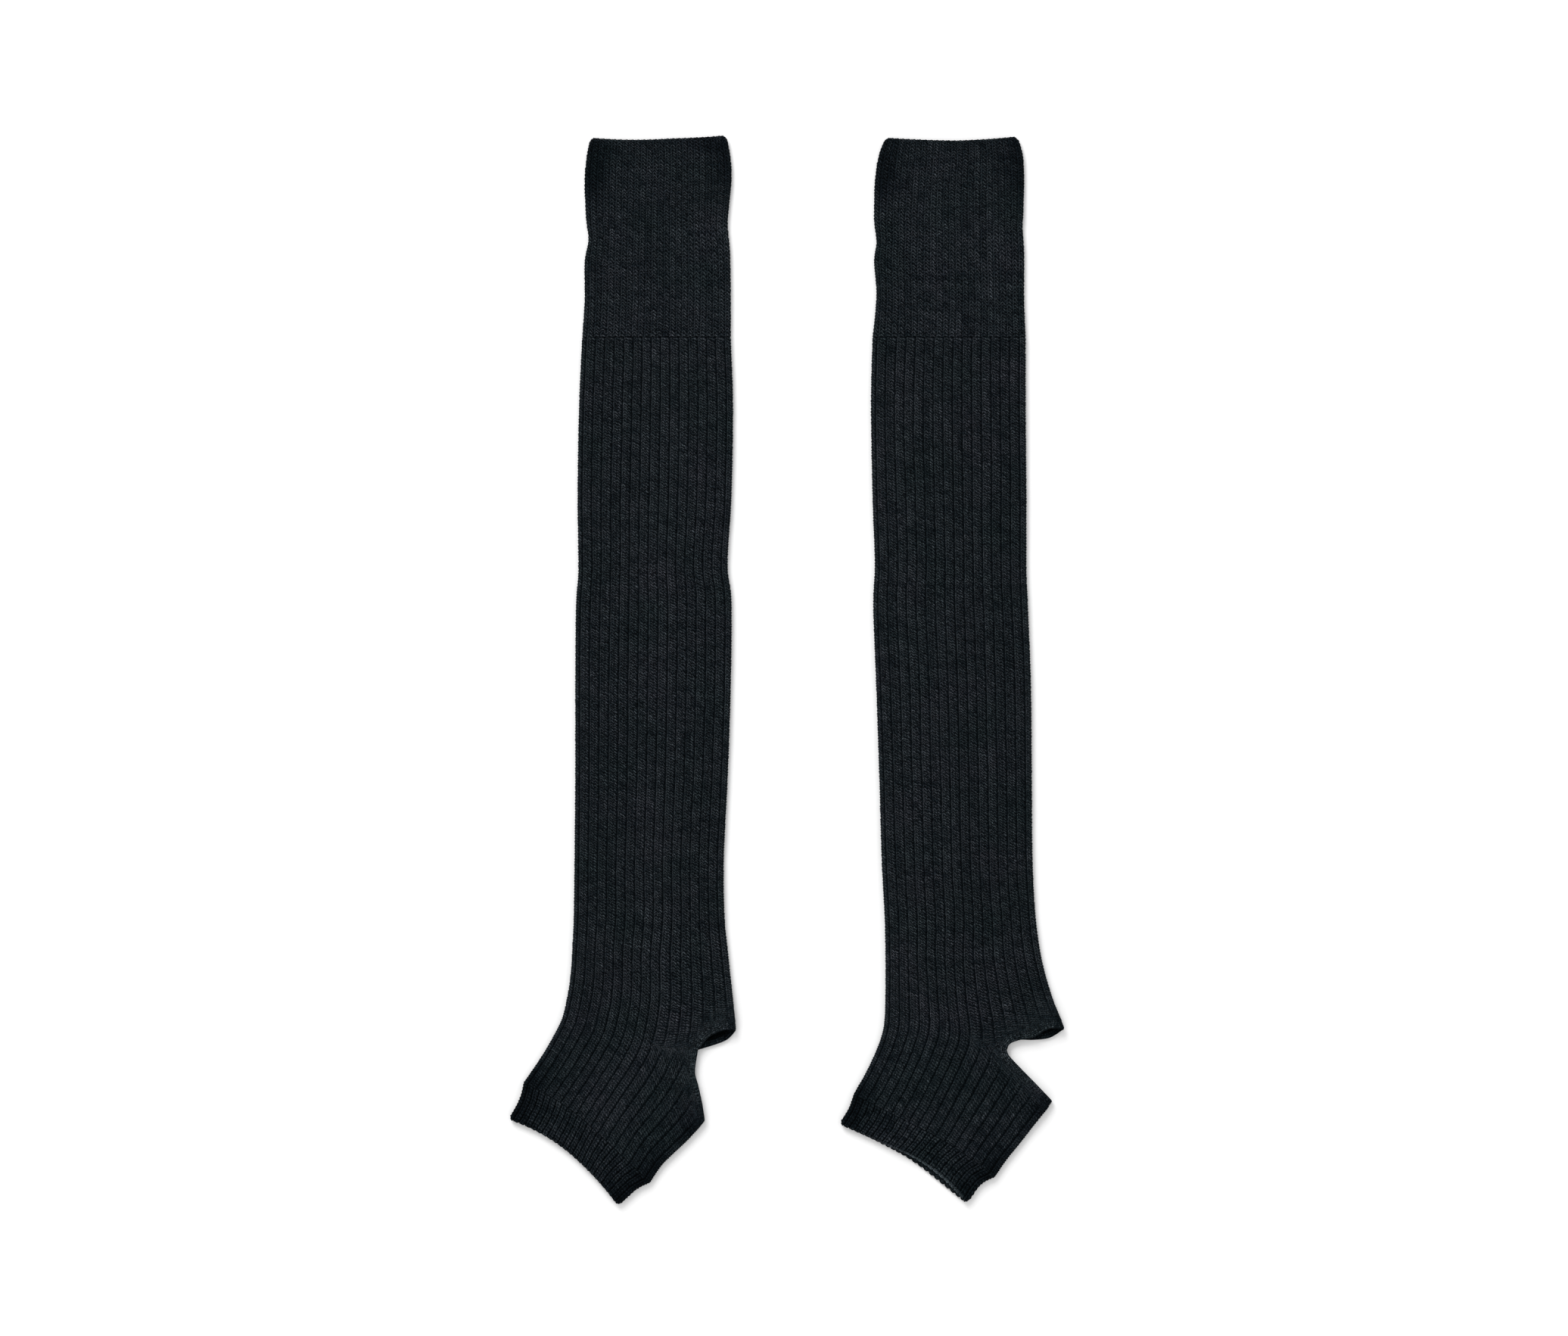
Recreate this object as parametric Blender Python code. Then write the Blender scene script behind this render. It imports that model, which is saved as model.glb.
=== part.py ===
"""A pair of ribbed stirrup leg warmers, laid flat side by side.

Each one is a seamless knitted tube pressed flat: a 1x1 rib cuff, a 2x1 rib leg that turns
into a short foot, a 1x1 rib toe band, and a plain knit edge round the open heel. The front
of every tube is ribbed, the back rests flat, and the two layers lie on each other.

World axes: +X to the right seen from above, +Y up the legs, +Z off the table.
The tables below are in millimetres from each leg warmer's own centre line: x to the right,
and the distance down from the top of the pair.
"""

import math
from collections import namedtuple

import bmesh
import bpy
from mathutils import Vector

MM = 0.001

# The cloth, in millimetres.
FLAT_THICKNESS = 4.8  # both layers of the tube, pressed flat
WALL = 2.1
SEAM_GAP = 0.3
RIB_DEPTH = {"leg": 0.9, "cuff": 0.8, "toe_band": 0.8}
# The plain heel edge from its seam to the opening, as shares of its width, and how much
# lower than the ribs' tops it lies there: it rolls up to a soft bead and over.
EDGE_PROFILE = ((0.0, 0.4), (0.45, 0.4), (0.8, 0.05), (1.0, 0.6))

# The knit, as ribs across the front of each tube between its folds, and how far the first
# groove lies from the left fold, in ribs.
RIBS = {"leg": 15.4, "cuff": 22.6, "toe_band": 22.6}
FIRST_GROOVE = {"leg": 0.1, "cuff": 0.2, "toe_band": 0.2}
# Where a rib's groove and its shoulders lie, as shares of the rib, and how much of the
# groove's depth each has.
RIB_PROFILE = {
    "leg": ((0.0, 1.0), (0.2, 0.0), (0.8, 0.0)),
    "cuff": ((0.0, 1.0), (0.3, 0.0), (0.7, 0.0)),
    "toe_band": ((0.0, 1.0), (0.3, 0.0), (0.7, 0.0)),
}

# Where the pair lies.
TOP = 349.5

# How the cloth bends.
FOLD_TURNS = (0.0, 0.45, 0.95)  # where a fold's columns stand, in radians above its middle
CREASE_RUN = (0.1, 0.9)  # the stretch of a crease that is pressed to its full depth
LEAST_SLANT = 0.3

# How finely the surfaces are divided.
ROW_PITCH = {"cuff": 22.0, "leg": 26.0, "foot": 10.0, "toe_band": 8.0}
BACK_STEPS = 4  # plain strips on each side of the gore line, under and inside the tube
BAND_STEPS = 8
EDGE_WALK_STEPS = 40
SHARP_ANGLE = 50  # degrees

KNIT_ROUGHNESS = 0.9
LEG_COLOUR = (0.0105, 0.0125, 0.0145, 1.0)
CUFF_COLOUR = (0.0100, 0.0122, 0.0140, 1.0)
BAND_COLOUR = (0.0115, 0.0135, 0.0155, 1.0)

# One course line across the flat tube. The gore is the point on it, at the groove past
# `instep_ribs` ribs, below which the heel opens; None puts it on the straight line. The bows
# lift the line's left and right stretches towards the leg at their middles. heel_ribs is how
# much of the ribs' depth is left on the heel side.
Course = namedtuple(
    "Course", "left right gore bow_left bow_right heel_ribs", defaults=(None, 0, 0, 1.0)
)
# A round swelling of the front layer, or a trough pressed along a line.
Swell = namedtuple("Swell", "x down reach height")
Crease = namedtuple("Crease", "start end half_width depth")
# The opened heel. Each edge runs from the inner corner to the fold.
Heel = namedtuple("Heel", "front_edge back_edge sole_edge")
LegWarmer = namedtuple(
    "LegWarmer",
    "side centre instep_ribs cuff leg foot toe_band toe_lip heel swells creases",
)

LEFT = LegWarmer(
    side="left",
    centre=-87.4,
    instep_ribs=9,
    cuff=(
        Course(left=(-41.5, 1.0), right=(47.5, 0.5)),
        Course(left=(-44.0, 11.5), right=(50.0, 11.0)),
        Course(left=(-45.5, 29.0), right=(51.0, 27.0)),
        Course(left=(-44.5, 54.0), right=(49.5, 44.0)),
        Course(left=(-43.0, 67.0), right=(48.5, 57.0)),
        Course(left=(-45.5, 81.5), right=(50.0, 76.5)),
        Course(left=(-45.5, 106.0), right=(50.5, 106.0)),
        Course(left=(-47.0, 131.0), right=(50.5, 131.0)),
    ),
    leg=(
        Course(left=(-47.0, 131.0), right=(50.5, 131.0)),
        Course(left=(-49.0, 175.5), right=(52.0, 175.5)),
        Course(left=(-50.0, 235.0), right=(51.0, 235.0)),
        Course(left=(-49.5, 283.0), right=(48.5, 279.5)),
        Course(left=(-51.0, 307.0), right=(51.0, 304.5)),
        Course(left=(-51.5, 361.5), right=(50.5, 361.5)),
        Course(left=(-51.5, 421.0), right=(48.5, 421.0)),
        Course(left=(-52.0, 473.0), right=(46.0, 473.0)),
        Course(left=(-52.5, 510.0), right=(46.5, 510.0)),
        Course(left=(-53.5, 532.5), right=(49.0, 536.0), gore=(4.0, 536.5)),
        Course(left=(-55.0, 552.5), right=(51.5, 559.5), gore=(4.0, 567.5), heel_ribs=0.7),
        Course(left=(-59.0, 573.5), right=(53.5, 577.0), gore=(1.0, 599.5), heel_ribs=0.35),
    ),
    foot=(
        Course(left=(-59.0, 573.5), right=(30.0, 649.0), gore=(1.0, 599.5), heel_ribs=0.35),
        Course(left=(-63.5, 584.5), right=(22.0, 657.5), gore=(-9.0, 612.5), heel_ribs=0.8),
        Course(left=(-70.5, 597.0), right=(13.5, 665.5), gore=(-19.0, 626.0)),
        Course(left=(-77.5, 608.0), right=(5.0, 674.0), gore=(-28.0, 639.0), bow_left=1.5),
        Course(left=(-85.5, 619.5), right=(-3.5, 684.0), gore=(-36.5, 652.5), bow_left=3.0),
    ),
    toe_band=(
        Course(left=(-85.5, 619.5), right=(-3.5, 684.0), gore=(-36.5, 652.5), bow_left=3.0),
        Course(left=(-88.5, 630.5), right=(-11.5, 690.5), gore=(-42.0, 662.5), bow_left=3.6),
        Course(left=(-94.5, 642.5), right=(-24.0, 698.5), gore=(-47.0, 673.0), bow_left=4.2),
    ),
    toe_lip=0.0,
    heel=Heel(
        front_edge=((29.0, 598.0), (35.5, 590.0), (43.0, 585.5), (49.5, 584.5), (54.0, 585.0)),
        back_edge=((29.0, 598.0), (40.5, 594.5), (48.5, 591.0), (54.0, 585.0)),
        sole_edge=((29.0, 598.0), (27.0, 612.0), (29.0, 621.0), (31.5, 632.0), (33.5, 644.5)),
    ),
    swells=(
        Swell(x=46, down=580, reach=17, height=3.2),
        Swell(x=26, down=640, reach=14, height=1.0),
        Swell(x=0, down=330, reach=60, height=0.4),
    ),
    creases=(
        Crease(start=(-46, 67), end=(52, 57), half_width=5, depth=0.6),
        Crease(start=(-52, 283), end=(-12, 290), half_width=7, depth=0.4),
        Crease(start=(8, 276), end=(52, 279), half_width=6, depth=0.45),
        Crease(start=(22, 468), end=(50, 474), half_width=7, depth=0.4),
    ),
)

RIGHT = LegWarmer(
    side="right",
    centre=106.9,
    instep_ribs=8,
    cuff=(
        Course(left=(-42.5, 1.0), right=(44.0, 1.0)),
        Course(left=(-47.0, 12.0), right=(47.5, 11.0)),
        Course(left=(-49.5, 29.0), right=(48.5, 27.0)),
        Course(left=(-50.0, 54.0), right=(48.0, 49.0)),
        Course(left=(-48.5, 68.5), right=(47.5, 59.0)),
        Course(left=(-50.0, 81.5), right=(48.5, 76.5)),
        Course(left=(-48.5, 103.5), right=(48.5, 106.0)),
        Course(left=(-51.0, 131.0), right=(49.5, 131.0)),
    ),
    leg=(
        Course(left=(-51.0, 131.0), right=(49.5, 131.0)),
        Course(left=(-52.0, 175.5), right=(49.5, 175.5)),
        Course(left=(-51.0, 235.0), right=(50.0, 235.0)),
        Course(left=(-49.5, 279.5), right=(50.0, 282.0)),
        Course(left=(-50.5, 307.0), right=(51.0, 307.0)),
        Course(left=(-48.5, 361.5), right=(53.0, 361.5)),
        Course(left=(-46.5, 421.0), right=(53.5, 421.0)),
        Course(left=(-45.0, 473.0), right=(54.0, 473.0)),
        Course(left=(-43.0, 512.5), right=(56.0, 510.0)),
        Course(left=(-42.5, 536.0), right=(59.5, 536.0), gore=(8.5, 536.5)),
        Course(left=(-42.5, 557.0), right=(66.0, 560.5), gore=(12.5, 565.5), heel_ribs=0.7),
        Course(left=(-43.0, 577.0), right=(72.5, 577.0), gore=(14.5, 593.5), heel_ribs=0.4),
    ),
    foot=(
        Course(left=(-43.0, 577.0), right=(63.5, 637.0), gore=(14.5, 593.5), heel_ribs=0.4),
        Course(left=(-45.0, 588.5), right=(54.5, 648.0), gore=(7.0, 608.0), heel_ribs=0.8),
        Course(left=(-49.5, 600.5), right=(46.0, 659.0), gore=(-0.5, 623.0)),
        Course(left=(-56.0, 614.0), right=(37.0, 670.0), gore=(-8.0, 637.5)),
        Course(left=(-63.5, 627.0), right=(28.0, 680.5), gore=(-16.0, 651.0), bow_right=1.5),
    ),
    toe_band=(
        Course(left=(-63.5, 627.0), right=(28.0, 680.5), gore=(-16.0, 651.0), bow_right=1.5),
        Course(left=(-67.0, 636.5), right=(20.5, 687.0), gore=(-22.0, 659.0), bow_right=2.1),
        Course(left=(-71.5, 644.5), right=(10.0, 696.5), gore=(-28.0, 665.5), bow_right=2.7),
    ),
    toe_lip=2.2,
    heel=Heel(
        front_edge=(
            (37.0, 598.0), (39.0, 594.0), (45.0, 591.5), (54.5, 590.0), (64.5, 585.0), (75.0, 584.0),
        ),
        back_edge=(
            (37.0, 598.0), (39.0, 594.0), (45.0, 591.5), (54.5, 591.5), (65.5, 590.0), (75.0, 584.0),
        ),
        sole_edge=((37.0, 598.0), (46.5, 610.5), (56.5, 621.0), (67.0, 631.5)),
    ),
    swells=(
        Swell(x=66, down=582, reach=17, height=2.8),
        Swell(x=60, down=632, reach=14, height=0.9),
        Swell(x=0, down=350, reach=60, height=0.4),
    ),
    creases=(
        Crease(start=(-50, 68), end=(-6, 66), half_width=5, depth=0.5),
        Crease(start=(4, 60), end=(50, 59), half_width=5, depth=0.45),
        Crease(start=(-52, 280), end=(-8, 284), half_width=7, depth=0.4),
        Crease(start=(20, 500), end=(58, 512), half_width=7, depth=0.4),
    ),
)

# One column of a tube's ring: share is across the tube, from the left fold to the right one;
# inset is how far the column stands in from a fold; level runs from the tube's underside, -1,
# to its top, 1; groove is 1 at the bottom of a rib's groove.
Column = namedtuple("Column", "share inset level groove", defaults=(0.0,))
# The columns of a tube's outside or inside, the function that sets their points, and how deep
# its grooves are.
Layer = namedtuple("Layer", "columns point rib_depth")


def clear_scene():
    for thing in list(bpy.data.objects):
        bpy.data.objects.remove(thing, do_unlink=True)


def mixed(a, b, share):
    return a + (b - a) * share


def spline(points, at):
    """The point of a Catmull-Rom curve through the points, at 0 to len(points) - 1."""
    index = min(int(at), len(points) - 2)
    share = at - index
    ends = [points[min(max(index + k, 0), len(points) - 1)] for k in (-1, 0, 1, 2)]
    before, start, end, after = (Vector(p) for p in ends)
    leaving = (end - before) / 2
    arriving = (after - start) / 2
    return (
        start * (2 * share**3 - 3 * share**2 + 1)
        + leaving * (share**3 - 2 * share**2 + share)
        + end * (3 * share**2 - 2 * share**3)
        + arriving * (share**3 - share**2)
    )


def with_gore(course, gore_share):
    if course.gore:
        return course
    gore = Vector(course.left).lerp(Vector(course.right), gore_share)
    return course._replace(gore=tuple(gore))


def courses_between(table, kind, gore_share, before=(), after=()):
    """The table's courses with smooth ones between them, closer where the tube bends. Its left
    side and gore line run on smoothly from the courses before it into those after it."""
    stations = [with_gore(course, gore_share) for course in table]
    run_on = [with_gore(course, gore_share) for course in (*before, *table, *after)]
    courses = []
    for index, (start, end) in enumerate(zip(stations, stations[1:])):
        apart = (Vector(end.gore) - Vector(start.gore)).length
        bends = table[index + 1].gore is not None
        pitch = min(ROW_PITCH[kind], ROW_PITCH["foot"]) if bends else ROW_PITCH[kind]
        steps = max(1, round(apart / pitch))
        for step in range(steps):
            share = step / steps
            numbers = {
                field: mixed(getattr(start, field), getattr(end, field), share)
                for field in ("bow_left", "bow_right", "heel_ribs")
            }
            places = {
                field: spline([getattr(c, field) for c in run_on], len(before) + index + share)
                for field in ("left", "gore")
            }
            right = spline([c.right for c in stations], index + share)
            courses.append(Course(**places, right=right, **numbers))
    return courses + [stations[-1]]


def on_bow(start, end, bow, distance):
    """The point `distance` along a shallow arc from start to end that rises towards the leg."""
    start, end = Vector(start), Vector(end)
    run = end - start
    share = distance / run.length
    up = Vector((run.y, -run.x)).normalized()
    return start + run * share + up * bow * 4 * share * (1 - share)


def across(course, gore_share, share, inset):
    """The place of a column on a course, kept `inset` away from the fold on its own side."""
    if share <= gore_share:
        length = (Vector(course.gore) - Vector(course.left)).length
        walked = inset + (length - inset) * share / gore_share
        return on_bow(course.left, course.gore, course.bow_left, walked)
    length = (Vector(course.right) - Vector(course.gore)).length
    walked = (length - inset) * (share - gore_share) / (1 - gore_share)
    return on_bow(course.gore, course.right, course.bow_right, walked)


def swelling(piece, place):
    """How far the front layer stands off the back one."""
    height = 0.0
    for swell in piece.swells:
        distance = math.hypot(place.x - swell.x, place.y - swell.down)
        height += swell.height * math.exp(-((distance / swell.reach) ** 2))
    return height


def creasing(piece, place):
    """How deep the creases press the front at this place, fading out at their ends."""
    depth = 0.0
    for crease in piece.creases:
        start, end = Vector(crease.start), Vector(crease.end)
        run = end - start
        share = (place - start).dot(run) / run.length_squared
        nearest = start + run * min(max(share, CREASE_RUN[0]), CREASE_RUN[1])
        distance = (place - nearest).length
        depth += crease.depth * math.exp(-((distance / crease.half_width) ** 2))
    return depth


def in_world(piece, place, height):
    return ((piece.centre + place.x) * MM, (TOP - place.y) * MM, height * MM)


def outside_point(piece, place, level, dip=0.0):
    """A point on the tube's outside: level -1 is the table, 1 the top of the ribs."""
    total = FLAT_THICKNESS + swelling(piece, place) - creasing(piece, place)
    on_top = max(level, 0.0)
    return in_world(piece, place, total * (level + 1) / 2 - dip * on_top)


def inside_point(piece, place, level):
    swell = swelling(piece, place)
    gap = FLAT_THICKNESS - 2 * WALL + swell
    middle = (FLAT_THICKNESS + swell) / 2
    return in_world(piece, place, middle + level * gap / 2)


def rounded_fold(share, radius):
    """Columns round a fold, from the level of its middle to just short of the top."""
    return [
        Column(share, radius * (1 - math.cos(turn)), math.sin(turn)) for turn in FOLD_TURNS
    ]


def gore_share_of(piece):
    """How far across the tube the groove is below which the heel opens."""
    return (piece.instep_ribs + FIRST_GROOVE["leg"]) / RIBS["leg"]


def plain_shares(gore_share):
    left = [gore_share * step / BACK_STEPS for step in range(BACK_STEPS + 1)]
    right = [mixed(gore_share, 1, step / BACK_STEPS) for step in range(1, BACK_STEPS + 1)]
    return left + right


def outside_columns(kind, gore_share):
    """The tube's outside, over the ribs from left to right and back underneath."""
    radius = FLAT_THICKNESS / 2
    left_fold = rounded_fold(0.0, radius)
    right_fold = rounded_fold(1.0, radius)
    places = [
        (rib + FIRST_GROOVE[kind] + place, groove)
        for rib in range(math.ceil(RIBS[kind]))
        for place, groove in RIB_PROFILE[kind]
    ]
    top = [
        Column(place / RIBS[kind], radius, 1.0, groove)
        for place, groove in places
        if place < RIBS[kind]
    ]
    under = [Column(share, radius, -1.0) for share in reversed(plain_shares(gore_share))]
    right_turn = [column._replace(level=-column.level) for column in right_fold[1:]]
    left_turn = [column._replace(level=-column.level) for column in reversed(left_fold[1:])]
    return left_fold + top + right_fold[::-1] + right_turn + under + left_turn


def inside_columns(gore_share):
    """The tube's inside, plain, in the same order."""
    radius = FLAT_THICKNESS / 2 - WALL
    shares = plain_shares(gore_share)
    over = [Column(share, WALL + radius, 1.0) for share in shares]
    under = [Column(share, WALL + radius, -1.0) for share in reversed(shares)]
    return [Column(0.0, WALL, 0.0)] + over + [Column(1.0, WALL, 0.0)] + under


def carried(course, place, share, lip):
    """The back layer's place where a lip carries it past the front layer."""
    run = (Vector(course.right) - Vector(course.left)).normalized()
    return place + Vector((-run.y, run.x)) * lip * 4 * share * (1 - share)


def ring_points(piece, course, layer, lip=0.0):
    """One closed ring round a tube, on its outside or its inside."""
    gore_share = gore_share_of(piece)
    points = []
    for column in layer.columns:
        place = across(course, gore_share, column.share, column.inset)
        if column.level < 0:
            place = carried(course, place, column.share, lip)
        depth = layer.rib_depth * column.groove
        if column.share > gore_share:
            depth *= course.heel_ribs
        x, y, z = layer.point(piece, place, column.level)
        points.append((x, y, z - depth * MM))
    return points


def layers_of(kind, gore_share):
    """The tube's ribbed outside and its plain inside."""
    outside = Layer(outside_columns(kind, gore_share), outside_point, RIB_DEPTH[kind])
    inside = Layer(inside_columns(gore_share), inside_point, 0.0)
    return outside, inside


def shortened(courses, gap, at_start, at_end):
    """The courses with their first or last one drawn back half a seam's gap."""
    courses = list(courses)
    for wanted, first, second in ((at_start, 0, 1), (at_end, -1, -2)):
        if not wanted:
            continue
        end, inner = courses[first], courses[second]
        moved = {}
        for field in ("left", "right", "gore"):
            place, towards = Vector(getattr(end, field)), Vector(getattr(inner, field))
            moved[field] = place + (towards - place).normalized() * gap / 2
        courses[first] = end._replace(**moved)
    return courses


def add_row(mesh, points):
    return [mesh.verts.new(point) for point in points]


def closed(row):
    return row + [row[0]]


def skin(mesh, row, next_row):
    """Faces between two rows of as many points, leaving out those with no size."""
    for a, b, c, d in zip(row, row[1:], next_row[1:], next_row):
        corners = list(dict.fromkeys((a, b, c, d)))
        if len(corners) > 2:
            mesh.faces.new(corners)


def walked_shares(row):
    lengths = [(b.co - a.co).length for a, b in zip(row, row[1:])]
    total = sum(lengths)
    shares = [0.0]
    for length in lengths:
        shares.append(shares[-1] + length / total)
    return shares


def zip_rows(mesh, row, other):
    """Triangles between two rows that may differ in their number of points."""
    shares, other_shares = walked_shares(row), walked_shares(other)
    i = j = 0
    while i < len(row) - 1 or j < len(other) - 1:
        can_step = i < len(row) - 1
        if can_step and (j == len(other) - 1 or shares[i + 1] <= other_shares[j + 1]):
            mesh.faces.new((row[i], row[i + 1], other[j]))
            i += 1
        else:
            mesh.faces.new((row[i], other[j + 1], other[j]))
            j += 1


def right_fold(columns):
    return next(i for i, column in enumerate(columns) if column.share == 1 and column.level == 0)


def rim(mesh, rings, layers):
    """The cut edge of a tube, closed in two halves so that the folds stay in line."""
    (ring, inner_ring), (turn, inner_turn) = rings, [right_fold(c.columns) for c in layers]
    zip_rows(mesh, ring[: turn + 1], inner_ring[: inner_turn + 1])
    zip_rows(mesh, closed(ring)[turn:], closed(inner_ring)[inner_turn:])


def finished_object(name, mesh, colour):
    bmesh.ops.recalc_face_normals(mesh, faces=mesh.faces)
    bmesh.ops.triangulate(mesh, faces=mesh.faces)
    data = bpy.data.meshes.new(name)
    mesh.to_mesh(data)
    mesh.free()
    material = bpy.data.materials.new(name + "_knit")
    material.use_nodes = True
    surface = material.node_tree.nodes["Principled BSDF"]
    surface.inputs["Base Color"].default_value = colour
    surface.inputs["Roughness"].default_value = KNIT_ROUGHNESS
    surface.inputs["Metallic"].default_value = 0.0
    data.materials.append(material)
    data.shade_smooth()
    data.set_sharp_from_angle(angle=math.radians(SHARP_ANGLE))
    thing = bpy.data.objects.new(name, data)
    bpy.context.scene.collection.objects.link(thing)
    return thing


def tube(piece, kind, courses, colour, lip=0.0):
    """A plain length of flattened tube, open at both ends."""
    layers = layers_of(kind, gore_share_of(piece))
    mesh = bmesh.new()
    ends = []
    for layer in layers:
        rows = []
        for course in courses:
            reach = lip if course is courses[-1] else 0.0
            rows.append(add_row(mesh, ring_points(piece, course, layer, reach)))
        for row, next_row in zip(rows, rows[1:]):
            skin(mesh, closed(row), closed(next_row))
        ends.append((rows[0], rows[-1]))
    for rings in zip(*ends):
        rim(mesh, rings, layers)
    return finished_object(f"{piece.side}_{kind}", mesh, colour)


def heel_span(columns, gore_share):
    """The stretch of a ring's columns from the gore line round the heel's fold and back."""
    on_gore = [i for i, column in enumerate(columns) if abs(column.share - gore_share) < 1e-6]
    return on_gore[0], on_gore[-1]


def leg_with_open_heel(piece):
    """The leg and foot: one tube, with the heel's courses left out beyond the gore."""
    gore_share = gore_share_of(piece)
    leg = courses_between(piece.leg, "leg", gore_share, after=piece.foot[1:])
    foot = courses_between(piece.foot, "foot", gore_share, before=piece.leg[:-1])
    leg = shortened(leg, SEAM_GAP, at_start=True, at_end=False)
    foot = shortened(foot, SEAM_GAP, at_start=False, at_end=True)
    layers = layers_of("leg", gore_share)
    mesh = bmesh.new()
    edges = []
    ends = []
    for layer in layers:
        first, last = heel_span(layer.columns, gore_share)
        rows = [add_row(mesh, ring_points(piece, course, layer)) for course in leg]
        heel_row = rows[-1]
        sole_row = [
            mesh.verts.new(point) if first < index < last else heel_row[index]
            for index, point in enumerate(ring_points(piece, foot[0], layer))
        ]
        foot_rows = [add_row(mesh, ring_points(piece, course, layer)) for course in foot[1:]]
        for part in (rows, [sole_row] + foot_rows):
            for row, next_row in zip(part, part[1:]):
                skin(mesh, closed(row), closed(next_row))
        edges.append((heel_row[first : last + 1], sole_row[first : last + 1]))
        ends.append((rows[0], foot_rows[-1]))
    for outer, inner in zip(*edges):
        zip_rows(mesh, outer, inner)
    for rings in zip(*ends):
        rim(mesh, rings, layers)
    return finished_object(f"{piece.side}_leg", mesh, LEG_COLOUR)


def along(points, share, inset):
    """A place on an edge curve, kept `inset` short of its end at the fold."""
    steps = EDGE_WALK_STEPS
    walk = [spline(points, (len(points) - 1) * step / steps) for step in range(steps + 1)]
    lengths = [(b - a).length for a, b in zip(walk, walk[1:])]
    wanted = (sum(lengths) - inset) * share
    for start, end, length in zip(walk, walk[1:], lengths):
        if wanted <= length:
            return start.lerp(end, wanted / length)
        wanted -= length
    return walk[-1]


def edge_columns():
    """The heel edge's columns from the corner over the front, round the fold and back."""
    radius = FLAT_THICKNESS / 2
    fold = rounded_fold(1.0, radius)
    shares = [step / BAND_STEPS for step in range(BAND_STEPS + 1)]
    over = [Column(share, radius, 1.0) for share in shares]
    under = [Column(share, radius, -1.0) for share in reversed(shares)]
    turn = [column._replace(level=-column.level) for column in fold[1:]]
    return over + fold[::-1] + turn + under


def band_width(course, edge, share, inset):
    """Where the heel edge starts and ends at this share of its length: clear of the ribs'
    seam by the seam's gap, and at the opening."""
    run = Vector(course.right) - Vector(course.gore)
    seam = Vector(course.gore) + run.normalized() * (run.length - inset) * share
    opening = along(edge, share, inset)
    way = (opening - seam).normalized()
    slant = abs(way.cross(run.normalized()))
    return seam + way * SEAM_GAP / max(slant, LEAST_SLANT), opening


def edge_sections(piece, course, front_edge, back_edge):
    """Cross sections of the heel edge between a course's heel side and the opening."""
    radius = FLAT_THICKNESS / 2
    sections = []
    for column in edge_columns():
        edge = front_edge if column.level >= 0 else back_edge
        seam, opening = band_width(course, edge, column.share, column.inset)
        outer = [
            outside_point(piece, seam.lerp(opening, share), column.level, dip)
            for share, dip in EDGE_PROFILE
        ]
        inner_inset = WALL + (radius - WALL) * column.inset / radius
        seam, opening = band_width(course, edge, column.share, inner_inset)
        inner = [
            inside_point(piece, seam.lerp(opening, share), column.level) for share in (1, 0.5, 0)
        ]
        sections.append(outer + inner)
    return sections


def heel_edge(piece):
    """The plain band round the heel opening: down one side of it and back up the other."""
    heel = piece.heel
    above = edge_sections(piece, piece.leg[-1], heel.front_edge, heel.back_edge)
    below = edge_sections(piece, piece.foot[0], heel.sole_edge, heel.sole_edge)
    sections = above + below[-2:0:-1]
    mesh = bmesh.new()
    rows = [add_row(mesh, section) for section in sections]
    for row, next_row in zip(rows, rows[1:] + rows[:1]):
        skin(mesh, closed(row), closed(next_row))
    return finished_object(f"{piece.side}_heel_edge", mesh, BAND_COLOUR)


def leg_warmer(piece):
    gore_share = gore_share_of(piece)
    cuff = courses_between(piece.cuff, "cuff", gore_share)
    cuff = shortened(cuff, SEAM_GAP, at_start=False, at_end=True)
    tube(piece, "cuff", cuff, CUFF_COLOUR)
    leg_with_open_heel(piece)
    heel_edge(piece)
    toe = courses_between(piece.toe_band, "toe_band", gore_share)
    toe = shortened(toe, SEAM_GAP, at_start=True, at_end=False)
    tube(piece, "toe_band", toe, CUFF_COLOUR, piece.toe_lip)


clear_scene()
for leg_warmer_table in (LEFT, RIGHT):
    leg_warmer(leg_warmer_table)
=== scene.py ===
"""The looks of a pair of ribbed stirrup leg warmers, laid flat side by side.

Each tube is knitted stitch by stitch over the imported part: the rows of its mesh are the
courses, the columns are the legs of the stitches across each rib, and both follow the
tube's own bends, folds, swells and creases. The tables are in millimetres from each leg
warmer's centre line: x to the right, and the distance down from the top of the pair.
"""

import math
from collections import namedtuple

import bpy
import numpy as np
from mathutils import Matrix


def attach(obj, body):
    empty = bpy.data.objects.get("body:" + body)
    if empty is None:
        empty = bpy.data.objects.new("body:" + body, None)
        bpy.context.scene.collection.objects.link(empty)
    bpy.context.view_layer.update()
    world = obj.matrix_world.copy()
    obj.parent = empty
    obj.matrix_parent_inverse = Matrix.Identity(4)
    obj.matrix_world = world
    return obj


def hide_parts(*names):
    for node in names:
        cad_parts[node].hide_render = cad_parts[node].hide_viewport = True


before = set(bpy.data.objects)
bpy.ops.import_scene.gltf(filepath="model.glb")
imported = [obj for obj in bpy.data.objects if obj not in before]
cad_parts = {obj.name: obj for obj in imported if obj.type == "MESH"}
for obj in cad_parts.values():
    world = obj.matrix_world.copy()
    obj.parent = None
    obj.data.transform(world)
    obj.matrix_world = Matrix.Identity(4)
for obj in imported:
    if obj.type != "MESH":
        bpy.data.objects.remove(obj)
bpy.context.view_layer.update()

MM = 0.001

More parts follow.
